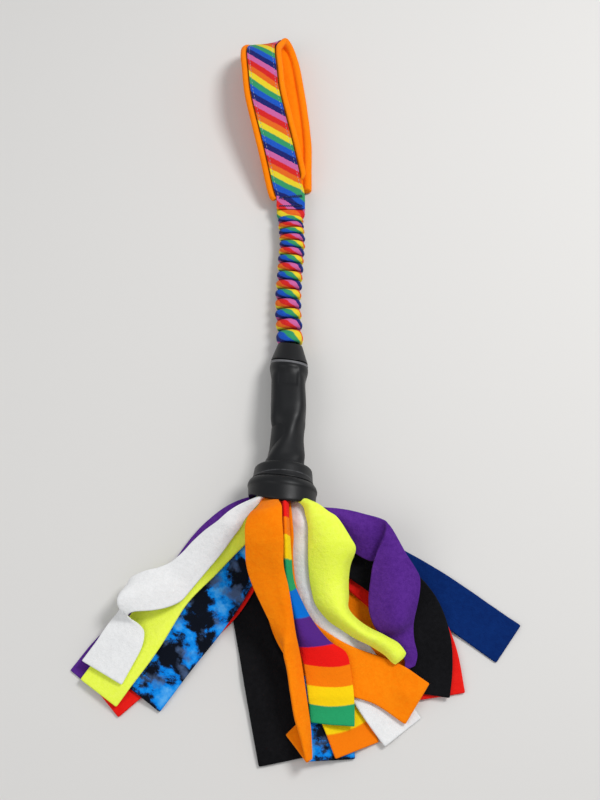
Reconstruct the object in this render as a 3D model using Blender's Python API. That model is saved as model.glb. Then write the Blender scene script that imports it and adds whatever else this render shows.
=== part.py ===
"""A bungee dog tug: a sewn handle loop, a gathered bungee, a rubber grip and ten fleece strips.

It lies on the floor as it was put down. +Y points to the handle, +Z is up.
All numbers are millimetres, and MM turns them into Blender's metres.
"""

import math

import bmesh
import bpy
import numpy as np
from mathutils import Matrix, Vector

MM = 0.001
GAP = 0.3  # between pieces that touch
CLOTH_GAP = 0.5  # between fleece layers that lie on each other

# The bungee
CORE_RADIUS = 4.4
CORE_INSIDE_GRIP = 46.0
SLEEVE_WIDTH = 21.8
SLEEVE_HEIGHT = 19.0
SLEEVE_TROUGH = 2.0  # how far the ribbon dips between two gathers
SLEEVE_SLANT = 1.7  # how far a gather slants along the sleeve from side to side
SLEEVE_IN_TAIL = 6.0
SLEEVE_WALL = 2.6  # the ribbons, pressed together inside the grip's tail
SLEEVE_NECK = 1.2  # how far past the grip's end the sleeve stays that slim
GATHERS = 15
FIRST_GATHER_AT = 8.0  # from the sleeve's sewn end to its first gather
FIRST_GATHER = 5.4  # from the first gather to the second
GATHER_GROWTH = 0.39  # how much longer each gather is than the one before
LAST_GATHER_AT = 9.0  # from the last gather to the grip
STRAP_WIDTH = 8.0
STRAP_THICKNESS = 1.6
STRAP_BEND = 2.4
NECK_HALF_HEIGHT = 5.5  # of the strips where the strap goes round them

# The rubber grip
TAIL = Vector((-6.0, 15.0))  # where the grip's narrow end is, seen from above
LINER_LENGTH = 138.0
LINER_YAW = math.radians(2.5)
LINER_SIDES = 24
TAIL_BORE = CORE_RADIUS + GAP + SLEEVE_WALL + GAP
TAIL_WALL = 2.2
TAIL_END_RADIUS = TAIL_BORE + TAIL_WALL
BARREL_RADIUS = 14.2
BARREL_WALL = 3.4
BARREL_TWIST = math.radians(80.0)
BARREL_SQUARENESS = 0.055
BARREL_WAIST = 1.3
TAIL_RING_RADIUS = BARREL_RADIUS + 1.6
TAIL_RING_AT = 23.0
MOUTH_RADIUS = 22.0
MOUTH_DEPTH = 14.5
RIM_RADIUS = MOUTH_RADIUS + 3.8
LOWER_TIER_RADIUS = MOUTH_RADIUS + 4.9
LOWER_TIER_AT = 9.5  # from the rim back to the widest ring
UPPER_TIER_RADIUS = LOWER_TIER_RADIUS - 4.0
UPPER_TIER_WALL = 3.4
UPPER_TIER_AT = 26.0  # from the rim back to the mouthpiece's shoulder
CAVITY_RADIUS = UPPER_TIER_RADIUS - UPPER_TIER_WALL
CAVITY_DEPTH = UPPER_TIER_AT - UPPER_TIER_WALL

# The handle
WEBBING_WIDTH = 25.0
WEBBING_THICKNESS = 1.6
RIBBON_THICKNESS = 0.6
RIBBON_INSET = 0.5
LINING_MARGIN = 5.5  # how far the fleece stands out beside the webbing
LINING_THICKNESS = 4.2
LINING_PUFF = 2.0  # how far its edges puff up past the webbing's middle
LINING_LIP = 1.8
THREAD_RADIUS = 0.35
SEWN_LENGTH = 11.0  # of the bungee's flat end, sewn between the webbing's ends
SEWN_THICKNESS = 3.7
SEWN_CLEARANCE = 1.4  # from the sleeve's end to the webbing's ends
LINING_FROM_SEWN = 9.0
ZIGZAGS = 11
ZIGZAG_MARGIN = 2.0

# The fleece strips
FLEECE_WIDTH = 35.0
FLEECE_THICKNESS = 2.0
FLEECE_CELLS = 3  # facets across a strip
COLUMN_GAP = 1.5  # each side of the grip's middle, inside the mouth
STACK_HALF_HEIGHT = MOUTH_RADIUS - 5.0
MOUTH_CLEARANCE = 0.8
FALL = 75.0  # how far from the rim a free strip reaches the floor
SPREAD = 45.0  # how far from the rim it has opened to its full width
TAIL_STEP = 11.0  # between the rows of points along a tail
LIP_AT = LINER_LENGTH + 4.0  # where a tail may turn, just past the rim
FIRM_ROWS = 3  # the rows inside the mouth, which the pile doesn't lift
ARCH_FROM = 15.0  # how far from the rim an arched strip starts to rise in the middle
ARCH_GROWS = 40.0
ARCH_FULLNESS = 0.8
DRAPE_TURNS = 14
DRAPE_SHARE = 0.6

# The tilt with which both of the grip's rings touch the floor
RING_SPAN = LINER_LENGTH - LOWER_TIER_AT - TAIL_RING_AT
TILT = math.atan((LOWER_TIER_RADIUS - TAIL_RING_RADIUS) / RING_SPAN)
TAIL_HEIGHT = TAIL_RING_RADIUS * math.cos(TILT) - TAIL_RING_AT * math.sin(TILT)

AXIS = Vector((
    -math.sin(LINER_YAW) * math.cos(TILT),
    -math.cos(LINER_YAW) * math.cos(TILT),
    math.sin(TILT),
))
ACROSS = Vector((math.cos(LINER_YAW), -math.sin(LINER_YAW), 0.0))
ABOVE = AXIS.cross(ACROSS)
TAIL_POINT = Vector((TAIL.x, TAIL.y, TAIL_HEIGHT))

NAVY = (0.0, 0.04, 0.16)
BLACK = (0.006, 0.006, 0.007)
ORANGE = (1.0, 0.22, 0.008)
PURPLE = (0.085, 0.02, 0.25)
RED = (0.85, 0.02, 0.015)
BLUE_DYE = (0.01, 0.2, 0.75)
RAINBOW = (0.9, 0.5, 0.05)
WHITE = (0.86, 0.87, 0.88)
YELLOW = (0.8, 0.95, 0.06)
RUBBER = (0.012, 0.012, 0.013)

# Each tail, from the lowest to the topmost: its name, colour, the side of the mouth that it
# leaves by, whether it arches where it lies narrow, and the points that its middle passes:
# right of the mouth's centre, out from the rim and, where it isn't flat, how wide it lies.
TAILS = [
    ("navy_left", NAVY, -1, False, [(-7, 12), (-3, 49), (-5, 88), (-1, 140), (5, 180)]),
    ("navy_right", NAVY, 1, False, [(23, 12), (61, 31), (99, 55), (136, 80), (172, 106)]),
    ("black_left", BLACK, -1, False, [
        (-11, 8), (-15, 31), (-22, 65), (-20, 84), (-14, 115), (-7, 152), (1, 192)]),
    ("orange_low", ORANGE, 1, False, [
        (17, 13), (36, 41), (54, 70), (73, 99), (89, 120), (102, 139)]),
    ("red_right", RED, 1, False, [
        (21, 13), (49, 40), (75, 63), (99, 82), (114, 109), (120, 145)]),
    ("black_right", BLACK, 1, False, [
        (20, 13), (51, 37), (79, 55), (99, 76), (108, 104), (111, 122), (110, 144)]),
    ("purple_right", PURPLE, 1, False, [
        (21, 14), (45, 26), (64, 30), (81, 38), (87, 52), (86, 75), (84, 96), (84, 112), (87, 125)]),
    ("orange_centre", ORANGE, 1, False, [
        (9, 13), (14, 43), (28, 82), (37, 119), (33, 157), (13, 185)]),
    ("dye_bottom", BLUE_DYE, 1, False, [
        (10, 10), (16, 42), (27, 92), (33, 133), (35, 162), (37, 191)]),
    ("purple_left", PURPLE, -1, False, [
        (-19, 10), (-37, 19), (-55, 31), (-80, 56), (-108, 92), (-128, 114), (-145, 136)]),
    ("red_left", RED, -1, False, [
        (-15, 9), (-25, 32), (-38, 58), (-52, 82), (-84, 121), (-118, 152)]),
    ("dye_left", BLUE_DYE, -1, False, [
        (-16, 11), (-26, 33), (-40, 59), (-56, 83), (-78, 111), (-104, 146)]),
    ("rainbow_second", RAINBOW, 1, False, [
        (12, 13), (17, 44), (25, 78), (33, 112), (41, 145), (49, 166), (56, 184)]),
    ("white_right", WHITE, 1, False, [
        (13, 12), (16, 31), (20, 57), (29, 80), (44, 104), (60, 128), (75, 151), (90, 171)]),
    ("orange_right", ORANGE, 1, False, [
        (18, 12), (26, 34), (35, 63), (43, 91), (56, 116), (77, 134), (101, 151)]),
    ("yellow_left", YELLOW, -1, False, [
        (-17, 8), (-32, 22), (-53, 40), (-78, 70), (-102, 104), (-121, 126), (-136, 143)]),
    ("white_left", WHITE, -1, False, [
        (-18, 8), (-28, 13), (-43, 24), (-60, 38), (-75, 54), (-95, 66), (-111, 75),
        (-118, 88), (-121, 100), (-127, 115), (-133, 129)]),
    ("rainbow_centre", RAINBOW, 1, True, [
        (6, 12, 8), (5, 31, 9), (7, 54, 11), (13, 75, 15), (22, 91, 21), (30, 109, 30),
        (35, 126, 35), (37, 149, 35), (37, 166, 35)]),
    ("yellow_right", YELLOW, 1, True, [
        (22, 12, 18), (33, 29, 31), (38, 41, 35), (37, 58, 33), (37, 72, 28), (40, 85, 22),
        (51, 98, 17), (70, 111, 15), (90, 124, 13)]),
    ("orange_left", ORANGE, -1, True, [
        (-8, 8, 18), (-11, 21, 27), (-13, 34, 32), (-8, 63, 25), (0, 93, 19), (10, 119, 13),
        (13, 140, 13), (16, 160, 14), (18, 175, 12), (19, 191, 10)]),
]
HINGED_TAILS = ("orange_left", "yellow_right")
TAIL_HINGE_AT = 20.0  # from a tail's inner end to where it bends over the lip

# The handle's route, from the sewn end out along the upper side, round and back underneath: right
# of the sleeve's end, out from it, and how far the strip is lifted off the floor.
HANDLE_ROUTE = [
    (-0.5, 16, 11.9), (-3, 24, 14.9), (-7, 41, 20.4), (-11, 62, 26.4), (-17, 88, 31.4),
    (-21, 109, 33.9), (-23, 130, 33.9), (-25, 152, 29.9), (-24.5, 164, 23.9), (-20.5, 171, 14.4),
    (-15, 168, 4.9), (-11, 158, 0.9), (-8, 142, 0), (-3, 105, 0), (0, 73, 0), (0, 45, 0),
    (0, 30, 0.1), (0, 23, 0.7), (0, 16, 2.1)]
HANDLE_LEAN = math.radians(8.0)


def clear_scene():
    for thing in list(bpy.data.objects):
        bpy.data.objects.remove(thing, do_unlink=True)


def material(name, colour, roughness):
    made = bpy.data.materials.get(name)
    if made is None:
        made = bpy.data.materials.new(name)
        made.use_nodes = True
        shader = made.node_tree.nodes["Principled BSDF"]
        shader.inputs["Base Color"].default_value = (*colour, 1.0)
        shader.inputs["Roughness"].default_value = roughness
        shader.inputs["Metallic"].default_value = 0.0
    return made


def add_object(name, bm, finish, smooth_angle=40.0):
    """Turns a bmesh in millimetres into an object in metres, with its faces out."""
    bmesh.ops.recalc_face_normals(bm, faces=bm.faces)
    if bm.calc_volume(signed=True) < 0:
        bmesh.ops.reverse_faces(bm, faces=bm.faces)
    bmesh.ops.scale(bm, vec=(MM, MM, MM), verts=bm.verts)
    mesh = bpy.data.meshes.new(name)
    bm.to_mesh(mesh)
    bm.free()
    mesh.materials.append(finish)
    mesh.shade_smooth()
    mesh.set_sharp_from_angle(angle=math.radians(smooth_angle))
    made = bpy.data.objects.new(name, mesh)
    bpy.context.collection.objects.link(made)
    return made


def put_origin(made, point):
    """Moves an object's origin to its joint's axis, in millimetres, and leaves its shape."""
    place = Vector(point) * MM
    made.data.transform(Matrix.Translation(-place))
    made.location = place


def run_along(line):
    """The distance along a line at each of its points."""
    steps = np.linalg.norm(np.diff(line, axis=0), axis=1)
    return np.concatenate([[0], np.cumsum(steps)])


def spline(points, count, before=None):
    """Even steps along a smooth curve through the points, which sets out as if from before."""
    p = np.array(points, float)
    lead = 2 * p[0] - p[1] if before is None else np.array(before, float)
    p = np.vstack([lead, p, 2 * p[-1] - p[-2]])
    fine = []
    for a, b, c, d in zip(p, p[1:], p[2:], p[3:]):
        for t in np.linspace(0, 1, 24, endpoint=False):
            fine.append(0.5 * (
                2 * b + (c - a) * t + (2 * a - 5 * b + 4 * c - d) * t * t
                + (3 * b - a - 3 * c + d) * t ** 3))
    fine.append(p[-2])
    fine = np.array(fine)
    run = run_along(fine[:, :3])
    even = np.linspace(0, run[-1], count)
    return np.stack([np.interp(even, run, fine[:, k]) for k in range(fine.shape[1])], axis=1)


def skin_rings(rings, closed_rings=True, closed_run=False):
    """Joins rings of equal count with quads, and caps the ends of an open run."""
    bm = bmesh.new()
    made = [[bm.verts.new(point) for point in ring] for ring in rings]
    pairs = list(zip(made, made[1:]))
    if closed_run:
        pairs.append((made[-1], made[0]))
    for one, two in pairs:
        count = len(one)
        for k in range(count if closed_rings else count - 1):
            n = (k + 1) % count
            bm.faces.new((one[k], one[n], two[n], two[k]))
    if not closed_run:
        bm.faces.new(made[0])
        bm.faces.new(made[-1])
    return bm


def in_grip(x, along, z):
    """A point given across, along and above the grip's axis."""
    return TAIL_POINT + ACROSS * x + AXIS * along + ABOVE * z


def liner():
    """The rubber grip: one hollow moulding, with a tail cone, a square twisted barrel and a mouth."""
    rim = LINER_LENGTH
    shoulder = rim - UPPER_TIER_AT
    barrel_start, barrel_end = TAIL_RING_AT + 12, shoulder - 4
    outer = [(0, TAIL_END_RADIUS), (1.5, TAIL_END_RADIUS + 0.9)]
    # The cone's foot, the groove after it and the ring.
    for along, lower in ((-7, 1.2), (-6, 0.9), (-5.2, 1.8), (-4.2, 0.6), (0, 0), (3, 0.6)):
        outer.append((TAIL_RING_AT + along, TAIL_RING_RADIUS - lower))
    steps = 8
    for k in range(steps + 1):
        share = k / steps
        waist = BARREL_WAIST * math.exp(-((share - 0.62) / 0.13) ** 2)
        outer.append((barrel_start + (barrel_end - barrel_start) * share, BARREL_RADIUS - waist))
    outer.append((shoulder, BARREL_RADIUS + 0.9))
    for along, lower in ((0.8, 1.4), (2.4, 0), (7.0, 0), (8.0, 1.0)):
        outer.append((shoulder + along, UPPER_TIER_RADIUS - lower))
    outer += [
        (rim - LOWER_TIER_AT - 7, LOWER_TIER_RADIUS - 2.2),
        (rim - LOWER_TIER_AT - 4, LOWER_TIER_RADIUS - 0.5),
        (rim - LOWER_TIER_AT, LOWER_TIER_RADIUS),
        (rim - LOWER_TIER_AT / 2, LOWER_TIER_RADIUS - 0.3),
        (rim - 3, RIM_RADIUS), (rim, RIM_RADIUS - 0.3)]
    inner = [
        (rim, MOUTH_RADIUS), (rim - MOUTH_DEPTH, MOUTH_RADIUS), (rim - MOUTH_DEPTH, CAVITY_RADIUS),
        (rim - CAVITY_DEPTH, CAVITY_RADIUS), (rim - CAVITY_DEPTH, BARREL_RADIUS - BARREL_WALL),
        (TAIL_RING_AT + 2, BARREL_RADIUS - BARREL_WALL), (TAIL_RING_AT - 4, TAIL_BORE),
        (0, TAIL_BORE)]

    def ring(along, radius, square):
        share = (along - barrel_start) / (barrel_end - barrel_start)
        turn = BARREL_TWIST * min(max((share - 0.55) / 0.45, 0.0), 1.0)
        fade = min(max(min(share + 0.15, 1.1 - share) * 6, 0.0), 1.0) * square
        points = []
        for k in range(LINER_SIDES):
            angle = 2 * math.pi * k / LINER_SIDES
            r = radius * (1 - BARREL_SQUARENESS * fade * math.cos(4 * (angle - turn)))
            points.append(in_grip(r * math.cos(angle), along, r * math.sin(angle)))
        return points

    rings = [ring(a, r, 1.0) for a, r in outer] + [ring(a, r, 0.0) for a, r in inner]
    return add_object("rubber_liner", skin_rings(rings, closed_run=True),
                      material("rubber", RUBBER, 0.42), 35.0)


def bundle():
    """The squeezed, folded middles of the strips: two lobes with a waist for the strap."""
    front = LINER_LENGTH - MOUTH_DEPTH - GAP
    back = LINER_LENGTH - CAVITY_DEPTH + GAP
    radius = CAVITY_RADIUS - GAP
    waist = STRAP_WIDTH / 2 + GAP
    # Half-heights across the bundle: a lobe, the waist, and the other lobe.
    half_spans = [waist, waist + 3, 0.75 * radius, 0.93 * radius, radius - 0.6]
    heights = (-1, -0.55, 0.55, 1)
    rings = []
    for x in [-span for span in reversed(half_spans)] + half_spans:
        in_waist = abs(x) <= waist
        half = NECK_HALF_HEIGHT if in_waist else math.sqrt(radius ** 2 - x ** 2)
        nose = front - STRAP_THICKNESS - 2 * GAP if in_waist else front
        ring = [in_grip(x, nose, half * z) for z in heights]
        rings.append(ring + [in_grip(x, back, half * z) for z in reversed(heights)])
    return add_object("fleece_bundle", skin_rings(rings), material("fleece_white", WHITE, 0.95))


def anchor_strap():
    """The sewn strap inside the grip: a stem from the bungee's end and a loop round the bundle."""
    neck = NECK_HALF_HEIGHT + GAP
    front = LINER_LENGTH - MOUTH_DEPTH - 2 * GAP - STRAP_THICKNESS
    back = LINER_LENGTH - CAVITY_DEPTH
    start = CORE_INSIDE_GRIP + GAP

    def outline(half, low, high, bend, corners=4):
        points = []
        for cx, cz, turn in ((high - bend, half - bend, 0), (low + bend, half - bend, 1),
                             (low + bend, bend - half, 2), (high - bend, bend - half, 3)):
            for k in range(corners + 1):
                angle = math.pi / 2 * (turn + k / corners)
                points.append((cx + bend * math.cos(angle), cz + bend * math.sin(angle)))
        return points

    hole = outline(neck, back, front, STRAP_BEND / 4)
    ring = outline(neck + STRAP_THICKNESS, back - STRAP_THICKNESS, front + STRAP_THICKNESS, STRAP_BEND)
    bm = bmesh.new()
    for side in (-1, 1):
        for points in (hole, ring):
            for along, z in points:
                bm.verts.new(in_grip(side * STRAP_WIDTH / 2, along, z))
    bm.verts.ensure_lookup_table()
    count = len(hole)
    index = {(side, loop): [bm.verts[(side * 2 + loop) * count + k] for k in range(count)]
             for side in (0, 1) for loop in (0, 1)}
    for k in range(count):
        n = (k + 1) % count
        for a, b in (((0, 0), (0, 1)), ((0, 1), (1, 1)), ((1, 1), (1, 0)), ((1, 0), (0, 0))):
            bm.faces.new((index[a][k], index[a][n], index[b][n], index[b][k]))
    # The stem grows from the back face of the ring.
    back_face = min(
        (f for f in bm.faces if len({v.co[:] for v in f.verts}) == 4),
        key=lambda f: (f.calc_center_median() - TAIL_POINT).dot(AXIS))
    moved = bmesh.ops.extrude_face_region(bm, geom=[back_face])
    ends = [v for v in moved["geom"] if isinstance(v, bmesh.types.BMVert)]
    for v in ends:
        v.co += AXIS * (start - (v.co - TAIL_POINT).dot(AXIS))
    bmesh.ops.delete(bm, geom=[back_face], context="FACES")
    return add_object("anchor_strap", bm, material("webbing_black", BLACK, 0.8), 30.0)


def tube(name, points, radius, sides, finish):
    """A round cord along the points, made as a curve with filled caps and turned into a mesh."""
    line = bpy.data.curves.new(name, "CURVE")
    line.dimensions = "3D"
    line.bevel_depth = radius * MM
    line.bevel_resolution = sides
    line.use_fill_caps = True
    run = line.splines.new("POLY")
    run.points.add(len(points) - 1)
    for knot, point in zip(run.points, points):
        knot.co = (*(Vector(point) * MM), 1.0)
    made = bpy.data.objects.new(name, line)
    bpy.context.collection.objects.link(made)
    line.materials.append(finish)
    return made


def gather_pitches():
    """The distance from each gather to the next, from the handle to the grip."""
    return [FIRST_GATHER + GATHER_GROWTH * k for k in range(GATHERS - 1)]


def sleeve_axis(count):
    """The bungee's middle line, from inside the grip's tail to the sewn end at the handle."""
    length = FIRST_GATHER_AT + sum(gather_pitches()) + LAST_GATHER_AT
    low = SLEEVE_HEIGHT / 2 + GAP
    inside = in_grip(0, SLEEVE_IN_TAIL, 0)
    end = TAIL_POINT
    route = [
        tuple(inside), tuple(end),
        (end.x - 0.8, end.y + length * 0.10, low + 1.8),
        (end.x - 2.0, end.y + length * 0.33, low),
        (end.x, end.y + length * 0.60, low),
        (end.x + 1.4, end.y + length * 0.78, low),
        (end.x + 0.2, end.y + length * 0.90, low),
        (end.x, end.y + length * 0.96, low - 0.5),
        (end.x, end.y + length, low - 0.8)]
    return spline(route, count)


def frames_along(line, side):
    """The direction, the sideways and the outward vector at each point of a line."""
    found = []
    steps = np.gradient(line, axis=0)
    for step in steps:
        ahead = Vector(step).normalized()
        wide = (side - ahead * side.dot(ahead)).normalized()
        found.append((ahead, wide, wide.cross(ahead)))
    return found


def gather_profile(total):
    """For each step from the grip to the handle: a place, and how full the ribbon is there, from 0
    in a trough to 1 on a gather, or -1 where it is pressed into the grip's tail."""
    pitches = gather_pitches()
    places = [(total, 0.1)]
    at = total - FIRST_GATHER_AT
    for last, pitch in zip([FIRST_GATHER] + pitches, pitches + [LAST_GATHER_AT]):
        places += [(at + last / 2, 0.0), (at + 0.2 * last, 1.0), (at - 0.22 * last, 0.9)]
        at -= pitch
    at += LAST_GATHER_AT
    places += [(at - LAST_GATHER_AT / 2, 0.0), (SLEEVE_IN_TAIL + SLEEVE_NECK, -1.0), (0.0, -1.0)]
    return places[::-1]


def bungee_sleeve(top):
    """One of the two gathered ribbons, sewn together along both sides over the elastic core."""
    line = sleeve_axis(240)
    run = run_along(line)
    sides, inner_sides = 8, 5
    bore = CORE_RADIUS + GAP
    up = 1.0 if top else -1.0
    rings = []
    for at, full in gather_profile(run[-1]):
        slim = full < 0
        if slim:
            half = tall = TAIL_BORE - GAP
        else:
            half = SLEEVE_WIDTH / 2 - SLEEVE_TROUGH * (1 - full)
            tall = SLEEVE_HEIGHT / 2 - SLEEVE_TROUGH * (1 - full)
        ring = []
        for k in range(sides + inner_sides):
            if k < sides:
                angle = math.pi * k / (sides - 1)
                x, z = half * math.cos(angle), tall * math.sin(angle)
            else:
                angle = math.pi * (1 - (k - sides) / (inner_sides - 1))
                x, z = bore * math.cos(angle), bore * math.sin(angle)
            z += GAP / 2
            slant = 0.0 if slim or k >= sides else SLEEVE_SLANT * x / half * min(full + 0.5, 1.0)
            place = min(max(at - slant, 0.0), run[-1])
            behind, middle, ahead = (
                Vector([np.interp(place + step, run, line[:, c]) for c in range(3)])
                for step in (-1, 0, 1))
            ahead = (ahead - behind).normalized()
            wide = (Vector((1, 0, 0)) - ahead * ahead.x).normalized()
            out = wide.cross(ahead)
            ring.append(middle + wide * x + out * (z * up))
        rings.append(ring)
    name = "bungee_sleeve_top" if top else "bungee_sleeve_back"
    return add_object(name, skin_rings(rings), material("ribbon", RAINBOW, 0.6), 50.0)


def bungee_core():
    """The elastic cord: the stretch inside the sleeve, and its end inside the grip."""
    line = sleeve_axis(60)
    run = run_along(line)
    elastic = material("elastic", BLACK, 0.7)
    steps = np.linspace(SLEEVE_IN_TAIL + 2 * GAP, run[-1], 16)
    free = [[np.interp(s, run, line[:, c]) for c in range(3)] for s in steps]
    cord = tube("bungee_core", free, CORE_RADIUS, 2, elastic)
    ends = [in_grip(0, along, 0) for along in (GAP, CORE_INSIDE_GRIP / 2, CORE_INSIDE_GRIP)]
    return cord, tube("bungee_core_end", ends, CORE_RADIUS, 2, elastic)


def sewn_lift():
    """How far the webbing's middle is from the middle of the bungee's flat end."""
    return SEWN_THICKNESS / 2 + GAP + WEBBING_THICKNESS / 2


def handle_frames():
    """The webbing's middle line and the directions along it."""
    end = Vector(sleeve_axis(60)[-1])
    lying = max(LINING_PUFF, WEBBING_THICKNESS / 2 + GAP + RIBBON_THICKNESS) + GAP / 3
    route = [end + Vector((0, SEWN_CLEARANCE, sewn_lift())), end + Vector((0, 9, sewn_lift() + 0.3))]
    route += [Vector((end.x + x, end.y + out, lying + lift)) for x, out, lift in HANDLE_ROUTE]
    route += [end + Vector((0, 9, -sewn_lift() - 0.3)), end + Vector((0, SEWN_CLEARANCE, -sewn_lift()))]
    path = spline([tuple(point) for point in route], 58)
    lean = Vector((math.cos(HANDLE_LEAN), math.sin(HANDLE_LEAN), 0.0))
    return path, frames_along(path, lean)


def sweep(path, frames, outline):
    rings = []
    for place, (_, wide, out) in zip(path, frames):
        rings.append([Vector(place) + wide * x + out * y for x, y in outline])
    return skin_rings(rings)


def handle():
    """The loop: a fleece lining inside, a webbing strap on it and a ribbon over the strap."""
    path, frames = handle_frames()
    half, strap = WEBBING_WIDTH / 2, WEBBING_THICKNESS / 2
    webbing = [(-half, -strap), (half, -strap), (half, strap), (-half, strap)]
    edge, low = half - RIBBON_INSET, strap + GAP
    high = low + RIBBON_THICKNESS
    ribbon = [(-edge, low), (edge, low), (edge, high), (-edge, high)]
    top = -strap - GAP
    bottom = top - LINING_THICKNESS
    wide, lip = half + LINING_MARGIN, half + GAP + 0.2
    # The lining's right half, from underneath round its puffed edge to the webbing's seat.
    right = [
        (wide - 4, bottom), (wide - 1.5, bottom + 0.6), (wide, (bottom + LINING_PUFF) / 2),
        (wide - 1.2, LINING_PUFF - 0.5), (lip + LINING_LIP, LINING_PUFF), (lip, top)]
    lining = right + [(-x, y) for x, y in reversed(right)]
    run = run_along(path)
    start = SEWN_LENGTH + LINING_FROM_SEWN
    keep = [k for k, s in enumerate(run) if start < s < run[-1] - start - 2]
    return [
        add_object("handle_webbing", sweep(path, frames, webbing), material("webbing", NAVY, 0.8), 30),
        add_object("handle_ribbon", sweep(path, frames, ribbon), material("ribbon", RAINBOW, 0.6), 30),
        add_object("handle_lining", sweep(path[keep], [frames[k] for k in keep], lining),
                   material("fleece_orange", ORANGE, 0.95), 50)]


def sewn_end():
    """The bungee's flat end, held between the webbing's ends, and the zigzag sewn through them."""
    end = sleeve_axis(60)[-1]
    bm = bmesh.new()
    bmesh.ops.create_cube(bm, size=1.0)
    bmesh.ops.scale(bm, vec=(SLEEVE_WIDTH, SEWN_LENGTH, SEWN_THICKNESS), verts=bm.verts)
    middle = (end[0], end[1] + 3 * GAP + SEWN_LENGTH / 2, end[2])
    bmesh.ops.translate(bm, vec=middle, verts=bm.verts)
    tab = add_object("bungee_sewn_end", bm, material("ribbon", RAINBOW, 0.6))
    reach = WEBBING_WIDTH / 2 - ZIGZAG_MARGIN
    path, frames = handle_frames()
    run = run_along(path)
    lift = WEBBING_THICKNESS / 2 + RIBBON_THICKNESS + 2.5 * GAP + THREAD_RADIUS
    points = []
    for k in range(ZIGZAGS):
        out = SEWN_CLEARANCE + SEWN_LENGTH * k / (ZIGZAGS - 1)
        middle = Vector([np.interp(out, run, path[:, c]) for c in range(3)])
        _, wide, up = frames[int(np.searchsorted(run, out))]
        points.append(middle + wide * (reach if k % 2 else -reach) + up * lift)
    return tab, tube("bartack_thread", points, THREAD_RADIUS, 0, material("thread_navy", NAVY, 0.7))


class Pile:
    """How high the pile of fleece stands, on a grid over the floor in front of the mouth."""

    CELL = 3.0
    REACH = (225.0, 220.0)  # to each side of the mouth's centre, and out from it
    BEHIND = 30.0

    def __init__(self):
        centre = in_grip(0, LINER_LENGTH, 0)
        self.low = np.array((centre.x - self.REACH[0], centre.y - self.REACH[1]))
        size = (2 * self.REACH[0], self.REACH[1] + self.BEHIND)
        self.top = np.zeros([int(side / self.CELL) for side in size])

    def cell(self, xy):
        at = np.floor((xy - self.low) / self.CELL).astype(int)
        return np.clip(at, 0, np.array(self.top.shape) - 1)

    def under(self, xy):
        at = self.cell(xy)
        return self.top[at[..., 0], at[..., 1]]

    def add(self, xy, z):
        at = self.cell(xy).reshape(-1, 2)
        z = z.reshape(-1)
        for dx in (-1, 0, 1):
            for dy in (-1, 0, 1):
                to = np.clip(at + (dx, dy), 0, np.array(self.top.shape) - 1)
                np.maximum.at(self.top, (to[:, 0], to[:, 1]), z)


def inside_samples(grid):
    """Points on every triangle of a grid of points, for testing what it crosses."""
    weights = np.linspace(0, 1, 6)
    a, b, c, d = grid[:-1, :-1], grid[1:, :-1], grid[1:, 1:], grid[:-1, 1:]
    found = []
    for u in weights:
        for v in weights:
            if u + v <= 1:
                found.append(a + (b - a) * u + (d - a) * v)
            else:
                found.append(c + (d - c) * (1 - u) + (b - c) * (1 - v))
    return np.array(found)


def lift_over(grid, pile, share):
    """Raises the corners of each cell by a share of what it still lacks above the pile."""
    found = inside_samples(grid)
    under = pile.under(found[..., :2])
    lack = np.where(under > 0, under + CLOTH_GAP, 0.0) - found[..., 2]
    need = np.maximum(lack.max(axis=0), 0.0)
    need[:FIRM_ROWS] = 0.0
    rise = np.zeros(grid.shape[:2])
    for rows, columns in ((slice(0, -1), slice(0, -1)), (slice(1, None), slice(0, -1)),
                          (slice(1, None), slice(1, None)), (slice(0, -1), slice(1, None))):
        rise[rows, columns] = np.maximum(rise[rows, columns], need)
    rise[:FIRM_ROWS] = 0.0
    grid[..., 2] += rise * share


def mouth_place(side, level, levels):
    """Where a tail leaves the bundle: its middle across, its height and its width there."""
    z = STACK_HALF_HEIGHT * (2 * level / (levels - 1) - 1)
    reach = abs(z) + FLEECE_THICKNESS / 2 + GAP
    chord = math.sqrt((MOUTH_RADIUS - MOUTH_CLEARANCE) ** 2 - reach ** 2)
    wide = chord - COLUMN_GAP
    return side * (COLUMN_GAP + wide / 2), z, wide


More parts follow.
